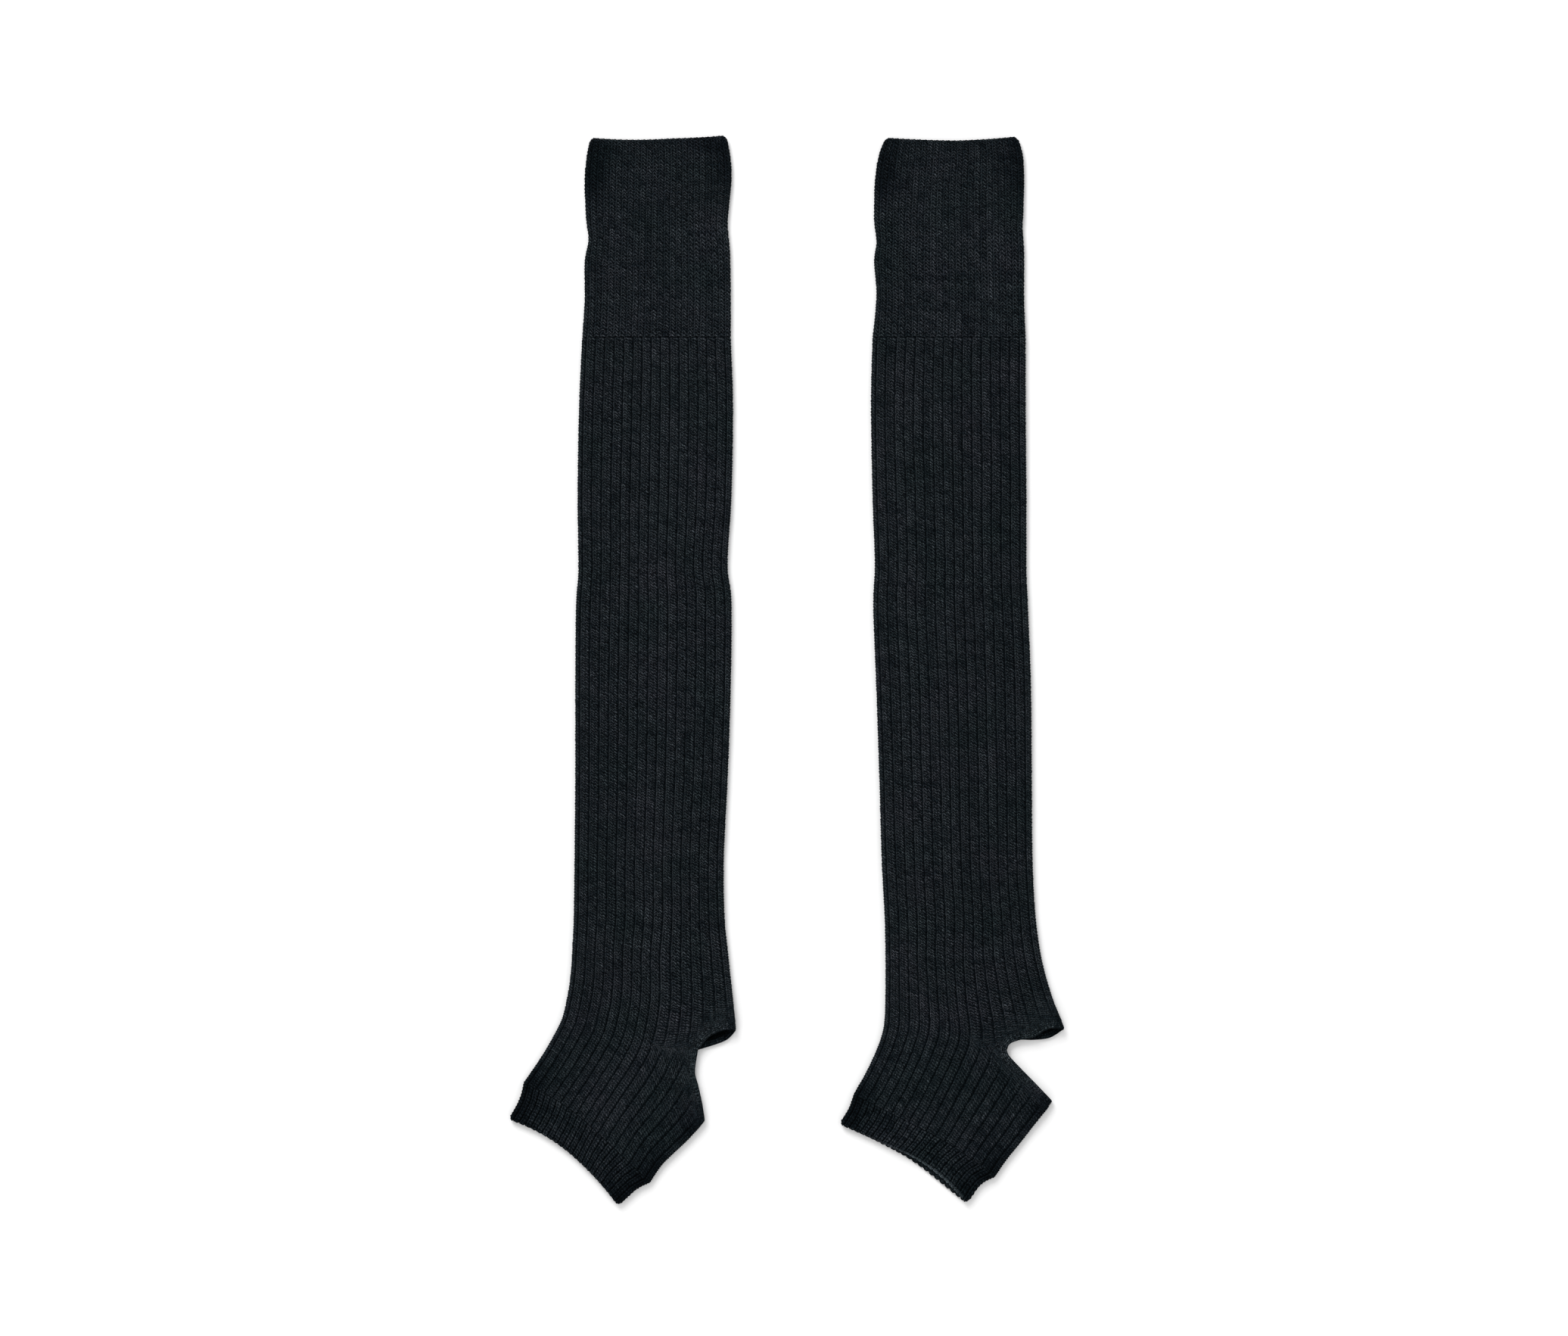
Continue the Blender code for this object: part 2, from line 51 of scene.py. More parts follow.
# The cloth, and how far the top of the pair is from the centre, in millimetres.
FLAT_THICKNESS = 4.8
WALL = 2.1
FOLD_RADIUS = FLAT_THICKNESS / 2
TOP = 349.5
QUARTER = math.pi / 2


def listed(kind, *values):
    """A table: one tuple of this kind for each row of values."""
    return tuple(kind(*row) for row in values)


# One column of stitches across a rib: its place in the rib, how high it stands, how far the
# yarn runs down there in courses, which wale of the rib it belongs to, and how light the yarn
# and the hollow between two courses are, with painted highlight on the crests and painted shade
# in the hollows and grooves.
Stitch = namedtuple("Stitch", "place height shift wale crest hollow")
# A knit: the ribs between the folds, how far the first groove is from the left fold, the
# ribs all round, the wales in one, the height of a course, and its columns.
Knit = namedtuple("Knit", "ribs first_groove ribs_round wales course front back")

# The first wale's left legs stand edge on and make one pale line beside each groove; the
# other legs slant down to the right with dark gaps between them. The dark of the grooves,
# gaps and hollows is painted shade, and the light of the crests is partly painted highlight.
GROOVED_PAIR = listed(
    Stitch,
    (0.000, -0.80, 0.60, 1, 0.40, 0.20),
    (0.060, -0.40, 0.20, 0, 0.80, 0.50),
    (0.120, -0.05, 0.00, 0, 1.40, 0.95),
    (0.200, -0.24, -0.30, 0, 0.78, 0.25),
    (0.280, -0.08, -0.35, 0, 1.30, 0.06),
    (0.390, 0.05, 0.00, 0, 1.60, 0.03),
    (0.500, -0.10, 0.35, 0, 1.35, 0.03),
    (0.560, -0.24, 0.40, 0, 0.78, 0.15),
    (0.630, -0.08, 0.15, 1, 1.35, 0.03),
    (0.740, 0.03, 0.50, 1, 1.65, 0.02),
    (0.850, -0.15, 0.85, 1, 1.20, 0.02),
    (0.930, -0.48, 0.90, 1, 0.60, 0.08),
)
GROOVED_PAIR_BACK = listed(
    Stitch,
    (0.000, -0.90, 0.00, 1, 0.40, 0.20),
    (0.180, 0.00, -0.50, 0, 1.40, 0.10),
    (0.480, -0.30, 0.50, 0, 1.00, 0.10),
    (0.640, 0.00, -0.50, 1, 1.40, 0.10),
)
GROOVED_SINGLE = listed(
    Stitch,
    (0.00, -0.45, 0.40, 0, 0.75, 0.15),
    (0.09, -0.20, 0.20, 0, 1.00, 0.50),
    (0.18, -0.05, 0.00, 0, 1.25, 0.75),
    (0.32, -0.30, -0.35, 0, 0.75, 0.12),
    (0.46, -0.08, -0.40, 0, 1.35, 0.03),
    (0.64, 0.05, 0.00, 0, 1.65, 0.02),
    (0.82, -0.12, 0.40, 0, 1.35, 0.02),
    (0.92, -0.35, 0.45, 0, 0.80, 0.05),
)
DEEP_SINGLE = listed(
    Stitch,
    (0.00, -0.75, 0.20, 0, 0.25, 0.08),
    (0.10, -0.30, 0.10, 0, 0.90, 0.50),
    (0.20, 0.00, 0.00, 0, 1.55, 1.00),
    (0.33, -0.40, -0.15, 0, 0.45, 0.10),
    (0.47, -0.08, -0.20, 0, 1.20, 0.12),
    (0.64, 0.05, 0.00, 0, 1.50, 0.10),
    (0.81, -0.12, 0.20, 0, 1.20, 0.10),
    (0.91, -0.45, 0.20, 0, 0.35, 0.05),
)
GROOVED_SINGLE_BACK = listed(
    Stitch,
    (0.00, -0.80, 0.00, 0, 0.40, 0.25),
    (0.30, 0.00, -0.50, 0, 1.40, 0.10),
    (0.70, -0.10, 0.50, 0, 1.20, 0.10),
)
PLAIN_INSIDE = listed(
    Stitch,
    (0.0, 0.0, 0.0, 0, 0.6, 0.6),
    (0.5, 0.0, 0.0, 0, 1.4, 1.4),
)
LEG_KNIT = Knit(15.4, 0.1, 33, 2, 1.78, GROOVED_PAIR, GROOVED_PAIR_BACK)
CUFF_KNIT = Knit(22.6, 0.2, 49, 1, 2.08, GROOVED_SINGLE, GROOVED_SINGLE_BACK)
TOE_KNIT = CUFF_KNIT._replace(front=DEEP_SINGLE)

# How high the yarn of a course stands and how low the hollow between two courses lies.
CREST = 0.20
HOLLOW = -0.30
# The inside has one row for so many half courses.
INSIDE_ROW_STEP = 6
# Faces that meet at more than this angle are shaded as an edge.
SHARP_ANGLE = math.radians(75)
# A crease is deepest between these shares of its length.
CREASE_RUN = (0.1, 0.9)

# One course line across the flat tube; the gore is the point on it below which the heel
# opens, and the bows lift its left and right stretches towards the leg.
Course = namedtuple("Course", "left right gore bow_left bow_right", defaults=(None, 0, 0))
# A place where the cloth stands up, how far that reaches and how high it is.
Swell = namedtuple("Swell", "x down reach height")
# A stretch that is pressed in, and one of painted light: paler with a painted highlight, or darker
# with painted shade where `amount` is below 0.
Crease = namedtuple("Crease", "start end half_width depth")
Tint = namedtuple("Tint", "start end half_width amount")
# The opened heel: each edge from the inner corner to the fold.
Heel = namedtuple("Heel", "front_edge back_edge sole_edge")
# One leg warmer. The leg starts at the cuff's last course line, the foot at the leg's last
# one, which runs on to the sole's fold, and the toe band at the foot's last one.
LegWarmer = namedtuple(
    "LegWarmer",
    "side centre instep_ribs cuff leg foot toe_band toe_lip heel swells creases tints",
)

LEFT = LegWarmer(
    side="left",
    centre=-87.4,
    instep_ribs=9,
    cuff=listed(
        Course,
        ((-41.5, 0.0), (47.5, -1.5), (11.0, 0.6), -1.1, -0.3),
        ((-44.0, 11.5), (50.0, 11.0), (11.5, 11.9)),
        ((-45.5, 29.0), (51.0, 27.0)),
        ((-44.5, 54.0), (49.5, 44.0)),
        ((-43.0, 67.0), (48.5, 57.0)),
        ((-45.5, 81.5), (50.0, 76.5)),
        ((-45.5, 106.0), (50.5, 106.0)),
        ((-47.0, 131.0), (50.5, 131.0)),
    ),
    leg=listed(
        Course,
        ((-49.0, 175.5), (52.0, 175.5)),
        ((-50.0, 235.0), (51.0, 235.0)),
        ((-49.5, 283.0), (48.5, 279.5)),
        ((-51.0, 307.0), (51.0, 304.5)),
        ((-51.5, 361.5), (50.5, 361.5)),
        ((-51.5, 421.0), (48.5, 421.0)),
        ((-52.0, 473.0), (46.0, 473.0)),
        ((-52.5, 510.0), (46.5, 510.0)),
        ((-53.5, 532.5), (49.0, 536.0), (4.0, 536.5)),
        ((-55.0, 552.5), (51.5, 559.5), (3.8, 567.5)),
        ((-59.0, 573.5), (53.5, 577.0), (-1.5, 595.0)),
    ),
    foot=listed(
        Course,
        ((-59.0, 573.5), (30.0, 649.0), (-1.5, 595.0)),
        ((-63.5, 584.5), (22.0, 657.5), (-9.8, 611.5)),
        ((-70.5, 597.0), (13.5, 665.5), (-19.3, 625.8)),
        ((-77.5, 608.0), (5.0, 674.0), (-28.0, 639.0), 1.5),
        ((-85.5, 619.5), (-2.2, 684.8), (-36.5, 652.5), 3.0),
    ),
    toe_band=listed(
        Course,
        ((-88.5, 630.5), (-11.8, 689.8), (-42.0, 662.5), 3.6),
        ((-95.7, 643.6), (-23.4, 700.6), (-47.2, 673.3), 3.4, 0.9),
    ),
    toe_lip=0.0,
    heel=Heel(
        front_edge=((29.0, 598.0), (35.5, 590.0), (43.0, 585.5), (49.5, 584.5), (54.0, 585.0)),
        back_edge=((29.0, 598.0), (40.5, 594.5), (48.5, 591.0), (54.0, 585.0)),
        sole_edge=((29.0, 598.0), (27.0, 612.0), (29.0, 621.0), (31.5, 632.0), (33.5, 644.5)),
    ),
    swells=listed(
        Swell,
        (46, 580, 17, 3.2), (26, 640, 14, 1.0), (0, 330, 60, 0.4),
    ),
    creases=listed(
        Crease,
        ((-46, 67), (52, 57), 5, 0.6), ((-52, 283), (-12, 290), 7, 0.4),
        ((8, 276), (52, 279), 6, 0.45), ((22, 468), (50, 474), 7, 0.4),
    ),
    # Painted shade at the cuff's top corners and edge, the toe's corners and beside the heel.
    tints=listed(
        Tint,
        ((-46, 2), (-46, 26), 18, -0.52), ((51, 0), (53, 22), 18, -0.52),
        ((-10, 0), (30, 0), 7, -0.25), ((-87, 618), (-94, 640), 16, -0.60),
        ((-22, 700), (6, 678), 16, -0.60), ((24, 652), (32, 642), 9, -0.45),
        ((52, 582), (53, 588), 5, -0.35),
    ),
)

RIGHT = LegWarmer(
    side="right",
    centre=106.9,
    instep_ribs=8,
    cuff=listed(
        Course,
        ((-42.5, 0.0), (44.0, -0.8), (3.0, 2.0), -0.3, -0.4),
        ((-47.0, 12.0), (47.5, 11.0), (3.0, 12.0)),
        ((-49.5, 29.0), (48.5, 27.0)),
        ((-50.0, 54.0), (48.0, 49.0)),
        ((-48.5, 68.5), (47.5, 59.0)),
        ((-50.0, 81.5), (48.5, 76.5)),
        ((-48.5, 103.5), (48.5, 106.0)),
        ((-51.0, 131.0), (49.5, 131.0)),
    ),
    leg=listed(
        Course,
        ((-52.0, 175.5), (49.5, 175.5)),
        ((-51.0, 235.0), (50.0, 235.0)),
        ((-49.5, 279.5), (50.0, 282.0)),
        ((-50.5, 307.0), (51.0, 307.0)),
        ((-48.5, 361.5), (53.0, 361.5)),
        ((-46.5, 421.0), (53.5, 421.0)),
        ((-45.0, 473.0), (54.0, 473.0)),
        ((-43.0, 512.5), (56.0, 510.0)),
        ((-42.5, 536.0), (59.5, 536.0), (8.5, 536.5)),
        ((-42.5, 557.0), (66.0, 560.5), (10.5, 565.5)),
        ((-43.0, 577.0), (72.5, 577.0), (12.8, 590.0)),
    ),
    foot=listed(
        Course,
        ((-43.0, 577.0), (63.5, 637.0), (12.8, 590.0)),
        ((-45.0, 588.5), (54.5, 648.0), (7.0, 607.0)),
        ((-49.5, 600.5), (46.0, 659.0), (-0.5, 622.5)),
        ((-56.0, 614.0), (37.0, 670.0), (-8.0, 637.5)),
        ((-63.5, 627.0), (29.3, 681.3), (-16.0, 651.0), 0, 1.5),
    ),
    toe_band=listed(
        Course,
        ((-67.0, 636.5), (20.0, 686.4), (-22.0, 659.0), 0, 2.1),
        ((-73.3, 646.6), (10.6, 699.6), (-28.6, 666.2), 0, 2.9),
    ),
    toe_lip=3.2,
    heel=Heel(
        front_edge=(
            (37.0, 598.0), (39.0, 594.0), (45.0, 591.5), (54.5, 589.5), (64.5, 584.0), (75.0, 584.0),
        ),
        back_edge=(
            (37.0, 598.0), (39.0, 594.0), (45.0, 591.5), (54.5, 591.5), (65.5, 590.0), (75.0, 584.0),
        ),
        sole_edge=((37.0, 598.0), (38.8, 602.0), (46.5, 610.3), (56.5, 620.5), (67.0, 631.5)),
    ),
    swells=listed(
        Swell,
        (66, 582, 17, 2.8), (60, 632, 14, 0.9), (0, 350, 60, 0.4), (-27, 666, 15, 1.0),
    ),
    creases=listed(
        Crease,
        ((-50, 68), (-6, 66), 5, 0.5), ((4, 60), (50, 59), 5, 0.45),
        ((-52, 280), (-8, 284), 7, 0.4), ((20, 500), (58, 512), 7, 0.4),
    ),
    # Painted shade at the cuff's top corners and edge, the toe's corners and beside the heel.
    tints=listed(
        Tint,
        ((-49, 2), (-51, 26), 18, -0.52), ((49, 0), (51, 22), 18, -0.52),
        ((-20, 0), (20, 0), 7, -0.25), ((-65, 626), (-73, 643), 15, -0.60),
        ((10, 698), (34, 678), 16, -0.55), ((60, 640), (66, 632), 9, -0.50),
        ((72, 578), (74, 584), 6, -0.45),
    ),
)

# The heel band from its seam to the opening, as shares of its width: how far each line of
# its stitches lies below the top of the cloth, how far the zigzag moves it, and how light,
# with painted shade on the lines that lie low and painted highlights on the high ones.
BandLine = namedtuple("BandLine", "share dip zigzag shade")
BAND_LINES = listed(
    BandLine,
    (-0.18, 1.25, 0.00, 0.30),
    (-0.02, 0.55, 0.00, 0.60),
    (0.08, 0.20, 0.02, 1.10),
    (0.18, 0.30, 0.05, 0.50),
    (0.30, 0.10, 0.06, 1.45),
    (0.42, 0.30, 0.05, 0.35),
    (0.54, 0.02, 0.06, 1.45),
    (0.66, 0.26, 0.05, 0.35),
    (0.78, 0.04, 0.06, 1.45),
    (0.90, 0.26, 0.03, 0.60),
    (0.98, 0.65, 0.00, 0.80),
    (1.00, 1.25, 0.00, 0.45),
)
# The same across the inside, as shares of the width with how light each line is: alternate stitch
# rows, with painted shade darker deeper inside.
BAND_INSIDE = (
    (0.97, 0.9), (0.85, 0.25), (0.72, 0.8), (0.6, 0.2), (0.45, 0.6), (0.3, 0.15), (-0.1, 0.2),
)
# Across one stitch of the band: place, height and how far the zigzag has gone.
BAND_STITCH = ((0.0, -0.28, 1.0), (0.25, 0.0, 0.0), (0.5, -0.14, -1.0), (0.75, 0.0, 0.0))
BAND_STITCH_WIDTH = 2.1
# How wide the band is beside the leg and beside the sole, and how far from the inner corner
# it changes from one to the other.
LEG_BAND = 5.5
SOLE_BAND = 4.0
BAND_CHANGE = 15.0
# The shares of the band between which its stitches stand up in full, and how much of them
# is left outside those.
BAND_FULL = (0.05, 0.97)
BAND_REST = 0.3
# How uneven its stitches are, how speckled, between which bounds, and how light the crook
# between two of them is, with painted shade in its dip.
BAND_LUCK = 0.2
BAND_TONE_LUCK = 0.1
SPECK = 0.35
SPECK_BOUNDS = (0.3, 1.9)
CROOK_PAINTED_SHADE = 0.6
# Its columns turned down farther than this, as an angle, lie flat on the table.
BAND_UNDERNEATH = 1.0

# The ribs go soft this far from the heel band and are flat plain knit this close to it, in
# millimetres, and go soft over so many ribs from the gore. The least that is left of them,
# the plain knit's depth, and how light its yarn is.
SOFT_REACH = {"leg": 18.0, "foot": 14.0}
FLAT_REACH = 4.0
SOFT_RIBS = 2.5
SOFTEST = 0.35
PLAIN_DIP = 0.25
PLAIN_CREST = 1.10
# How much of the slant of the stitches is left where the knit is plain.
PLAIN_SLANT = 0.3
# On the foot and near the heel the knit is stretched along its ribs: its stitches slant
# less, its courses close up into lines, the hollows between them get paler and the stitches
# more alike, and the whole is darker and flatter.
FOOT_SLANT_LOSS = 0.5
FOOT_LINES = 0.45
LINE_HOLLOW = 0.6
FOOT_CONTRAST = 0.15
FOOT_EVENNESS = 0.6
FOOT_SHADE = 0.77
FOOT_DEPTH = 0.8
STRETCHING_COURSES = 24
# The luck of the yarn, each for one step of a random number: how a stitch leans, where its
# loop is, in courses, how deep and how high it is, in millimetres, how far it is to the
# side, and how light it, its course and its wale are. Then the largest step there is.
LEAN_LUCK = 0.2
SHIFT_LUCK = 0.14
DEPTH_LUCK = 0.15
HEIGHT_LUCK = 0.04
SIDE_LUCK = 0.13
SHADE_LUCK = 0.18
COURSE_LUCK = 0.05
WALE_LUCK = 0.05
FARTHEST_LUCK = 2
# How far the course lines wander, in courses, and how far the ribs and the top do, in
# millimetres, and over what length. A rib and a course are taken as this wide for it.
LINE_WANDER, LINE_WAVE = 0.22, 45
RIB_WANDER, RIB_WAVE = 0.22, 60
TOP_WANDER, TOP_WAVE = 0.12, 30
RIB_WIDTH, COURSE_HEIGHT, TUBE_WIDTH = 6.2, 1.8, 95
# Each of the three has random numbers of its own.
LINES, RIBS, TOP_SIDE = 1, 2, 3
# The waves in one such ripple, and how long each is.
RIPPLE_PARTS = 7
RIPPLE_LENGTHS = (0.6, 1.7)
# The first and last courses wander less, over so many. Stitches drift less near the folds
# and the gore, where less than one part in DRIFT_ROOM of the full room is left.
STEADY_COURSES = 4
DRIFT_ROOM = 6
# Random numbers are drawn for so many courses more at each end, because the heel's run on.
SPARE_COURSES = 20
# A tube's columns turned down farther than this, as an angle, lie flat on the table.
UNDERNEATH = math.pi / 6
# A column that comes this close to a seam has arrived at it, and one that ends this close
# beside it ends on it, in millimetres. Each step of a seam is taken this share longer.
TOUCHING = 1e-9
SEAM_WIDTH = 1e-3
WALL_SLACK = 1e-6
# Round the heel opening the first side's places run from 0 to 1, the second side's start
# here, and the first one comes again here.
SECOND_SIDE = 1.001
ROUND_AGAIN = 2.01
# The open ends: how far each rib's loop stands out, in courses, and how far a fold's corner
# is rounded off and the end drops, in millimetres, over so many courses.
SCALLOP = 0.36
CORNER = 1.6
END_DROP = 0.9
END_COURSES = 1.5
# Where the toe's edges lie apart: how far up the back one is drawn out, and how wide and how
# light the painted highlight on the front one's rim is. LIP_TOP brings share**3 * (1 - share) to 1
# at its highest.
LIP_TOP = 9.5
LIP_REACH = 8.0
RIM_HIGHLIGHT_REACH = 1.8
RIM_HIGHLIGHT_FULL = 2.0
PAINTED_RIM_HIGHLIGHT = 2.6
# How light the inside's painted shade is, and at its edge, which is so many courses wide and less
# dark.
INSIDE_PAINTED_SHADE = 0.25
EDGE_PAINTED_SHADE = 0.70
EDGE_COURSES = 2
# How far in from a fold the cuff's ribs follow its swings.
DRAWN_IN_REACH = 9.0
# How finely the curves are measured: steps from one course line to the next, and points on
# an edge of the heel's opening.
FINE_STEPS = 40
EDGE_POINTS = 241
# The seam of the heel band: over what length it turns at the inner corner and at the fold,
# how far it is drawn on past the fold, how far back from the turn a column is looked for on
# it, in millimetres, and over how many courses the column's way there is taken.
ROUNDING = 6.0
SEAM_BEYOND = 12.0
FARTHEST_BACK = 12.0
RUN_ON_STEP = 4.0


# --- Curves and noise -------------------------------------------------------------------


def spline(points, at):
    """Places on the Catmull-Rom curve through the points, each at 0 to len(points) - 1."""
    index = np.clip(np.floor(at).astype(int), 0, len(points) - 2)
    share = (at - index)[..., None]
    last = len(points) - 1
    before, start, end, after = (points[np.clip(index + k, 0, last)] for k in (-1, 0, 1, 2))
    leaving = (end - before) / 2
    arriving = (after - start) / 2
    return (
        start * (2 * share**3 - 3 * share**2 + 1)
        + leaving * (share**3 - 2 * share**2 + share)
        + end * (3 * share**2 - 2 * share**3)
        + arriving * (share**3 - share**2)
    )


def unit(vectors):
    return vectors / np.linalg.norm(vectors, axis=-1, keepdims=True)


def smooth(values):
    """0 to 1 with soft ends."""
    values = np.clip(values, 0, 1)
    return values * values * (3 - 2 * values)


def walked(points):
    """How far along a line of points each one is."""
    steps = np.linalg.norm(np.diff(points, axis=0), axis=-1)
    return np.concatenate([[0.0], np.cumsum(steps)])


def ripple(rng, x, y, wave):
    """Soft unevenness of about 1 in height over x and y."""
    total = 0.0
    for _ in range(RIPPLE_PARTS):
        angle = rng.uniform(0, math.tau)
        length = wave * rng.uniform(*RIPPLE_LENGTHS)
        way_x, way_y = math.cos(angle) / length, math.sin(angle) / length
        total = total + np.sin(math.tau * (x * way_x + y * way_y) + rng.uniform(0, math.tau))
    return total / math.sqrt(RIPPLE_PARTS)


def lucky(rng, size):
    """Random numbers around 0, none of them far out."""
    return rng.normal(size=size).clip(-FARTHEST_LUCK, FARTHEST_LUCK)


# --- How a tube lies --------------------------------------------------------------------


def gore_share_of(piece):
    """How far across the tube the groove is below which the heel opens."""
    return (piece.instep_ribs + LEG_KNIT.first_groove) / LEG_KNIT.ribs


class Lie:
    """How a tube lies flat: where each course is, and each share across it. The heel side of
    a leg turns at a station: above it the courses end on the leg's fold, below on the sole's."""

    def __init__(self, piece, course_height, table, below=(), drawn_in=False):
        self.gore_share = gore_share_of(piece)
        stations = table + below[1:]
        halves = [half for half in (table, below) if half]
        self.turn = len(table) - 1
        self.left = np.array([course.left for course in stations])
        self.gore = np.array([self.gore_of(course) for course in stations])
        self.bow_left = np.array([course.bow_left for course in stations], float)
        self.rights = [np.array([course.right for course in half]) for half in halves]
        self.bows = [np.array([course.bow_right for course in half], float) for half in halves]
        self.drawn_in = drawn_in
        self.count_courses(course_height)

    def gore_of(self, course):
        left, right = np.array(course.left), np.array(course.right)
        return course.gore or tuple(left + (right - left) * self.gore_share)

    def count_courses(self, course_height):
        """Give every station its course number, whole at the turn and at the end."""
        last = len(self.left) - 1
        fine = np.linspace(0, last, FINE_STEPS * last + 1)
        length = (walked(spline(self.left, fine)) + walked(spline(self.gore, fine))) / 2
        turn_length = np.interp(self.turn, fine, length)
        self.turn_course = self.courses = round(turn_length / course_height)
        numbers = length * self.turn_course / turn_length
        rest = length[-1] - turn_length
        if rest > 0:
            below = round(rest / course_height)
            self.courses += below
            onward = self.turn_course + (length - turn_length) * (below / rest)
            numbers = np.where(fine <= self.turn, numbers, onward)
        self.fine, self.numbers = fine, numbers

    def across(self, number, half, share, inset):
        """Places across the flat tube, kept `inset` away from the fold on their own side."""
        at = np.interp(number, self.numbers, self.fine)
        instep = share <= self.gore_share
        heel_at = np.maximum(at, self.turn) if half else np.minimum(at, self.turn)
        at = np.where(instep, at, heel_at)
        right_at = at - self.turn * half
        left_fold, right_fold = spline(self.left, at), spline(self.rights[half], right_at)
        fold = np.where(instep[..., None], left_fold, right_fold)
        left_bow = np.interp(at, np.arange(len(self.left)), self.bow_left)
        right_bow = np.interp(right_at, np.arange(len(self.bows[half])), self.bows[half])
        bow = np.where(instep, left_bow, -right_bow)
        near = np.where(instep, share / self.gore_share, (1 - share) / (1 - self.gore_share))
        run = spline(self.gore, at) - fold
        length = np.linalg.norm(run, axis=-1)
        part = (inset + (length - inset) * near) / length
        way = run / length[..., None]
        up = np.stack([way[..., 1], -way[..., 0]], axis=-1)
        places = fold + run * part[..., None] + up * (bow * 4 * part * (1 - part))[..., None]
        if self.drawn_in:
            drawn = np.exp(-part * length / DRAWN_IN_REACH) - 1 + part
            places[..., 0] += self.bend_of_fold(at, instep) * drawn
        return places

    def bend_of_fold(self, at, instep):
        """How far a fold swings out from its own smooth line."""
        bends = []
        for side in (self.left, self.rights[0]):
            smooth_line = np.polyval(np.polyfit(side[:, 1], side[:, 0], 2), side[:, 1])
            points = np.stack([side[:, 0] - smooth_line, side[:, 1]], axis=-1)
            bends.append(spline(points, at)[..., 0])
        return np.where(instep, *bends)


class Ring:
    """The columns all round a tube, from its first groove over the front to the right fold,
    back underneath and round the left fold. `turn` is 90 degrees on top and -90 below."""

    def __init__(self, knit, gore_share, width):
        pitch = (width - 2 * FOLD_RADIUS) / knit.ribs
        half_turn = math.pi * FOLD_RADIUS / pitch
        right = knit.ribs - knit.first_groove
        under = right + half_turn
        on_top_again = knit.ribs_round - knit.first_groove
        left = on_top_again - half_turn
        columns = []
        for rib in range(knit.ribs_round):
            hidden = rib > under and rib + 1 < left
            for stitch in knit.back if hidden else knit.front:
                columns.append((rib + stitch.place, rib * knit.wales + stitch.wale, stitch))
        at, wale, stitches = zip(*columns)
        self.at, self.wale = np.array(at), np.array(wale)
        self.height, self.shift, self.crest, self.hollow = (
            np.array([getattr(stitch, field) for stitch in stitches])
            for field in ("height", "shift", "crest", "hollow")
        )
        places = [0, right, under, left, on_top_again, knit.ribs_round]
        first = knit.first_groove / knit.ribs
        self.share = np.interp(self.at, places, [first, 1, 1, 0, 0, first])
        turns = [QUARTER, QUARTER, -QUARTER, -QUARTER, QUARTER, QUARTER]
        self.turn = np.interp(self.at, places, turns)
        self.gore_share = gore_share
        self.snap_to_gore(under, left)

    def snap_to_gore(self, under, left):
        """Put one column on top and one underneath right on the gore line. The heel's columns
        are the ones between them."""
        off = abs(self.share - self.gore_share)
        above = [i for i in range(len(self)) if self.at[i] < under]
        below = [i for i in range(len(self)) if under < self.at[i] < left]
        upper, lower = (min(part, key=off.__getitem__) for part in (above, below))
        for column in (upper, lower):
            self.share[column] = self.gore_share
            self.shift[column] = 0.0
        self.heel = slice(upper, lower + 1)

    def __len__(self):
        return len(self.at)


def thickness(piece, places):
    """How thick the two layers are together, at these places."""
    x, down = places[..., 0], places[..., 1]
    total = FLAT_THICKNESS
    for swell in piece.swells:
        squared = ((x - swell.x) ** 2 + (down - swell.down) ** 2) / swell.reach**2
        total = total + swell.height * np.exp(-squared)
    return total


def nearness(places, stretch, ends=(0.0, 1.0)):
    """1 on a stretch of cloth, falling softly to 0 beside it and past its ends."""
    start, run = np.array(stretch.start), np.subtract(stretch.end, stretch.start)
    share = np.clip(((places - start) @ run) / (run @ run), *ends)
    distance = np.linalg.norm(places - start - share[..., None] * run, axis=-1)
    return np.exp(-((distance / stretch.half_width) ** 2))


def creasing(piece, places):
    """How deep the creases press the front at these places."""
    return sum(crease.depth * nearness(places, crease, CREASE_RUN) for crease in piece.creases)


def painted_lighting(piece, places):
    """How the patches of painted shade, or of painted highlight where their amount is above 0,
    darken or lighten the cloth at these places.
    """
    tone = 1.0
    for painted in piece.tints:
        tone = tone * (1 + painted.amount * nearness(places, painted))
    return tone


def inset_outside(turn, height, corner=0.0):
    """How far in from the fold's line the outside of a bent layer is."""
    return FOLD_RADIUS - (FOLD_RADIUS + height - corner) * np.cos(turn)


def inset_inside(turn):
    return WALL + (FOLD_RADIUS - WALL) * (1 - np.cos(turn))


def level_outside(total, turn, height):
    """How high the outside lies where the two layers are this thick together."""
    return total / 2 * (1 + np.sin(turn)) + height * np.sin(turn)


def level_inside(total, turn):
    return total / 2 + np.sin(turn) * (total - 2 * WALL) / 2


def in_world(piece, places, level):
    x, y = piece.centre + places[..., 0], TOP - places[..., 1]
    return np.stack([x * MM, y * MM, np.broadcast_to(level, x.shape) * MM], axis=-1)


# --- The opened heel --------------------------------------------------------------------


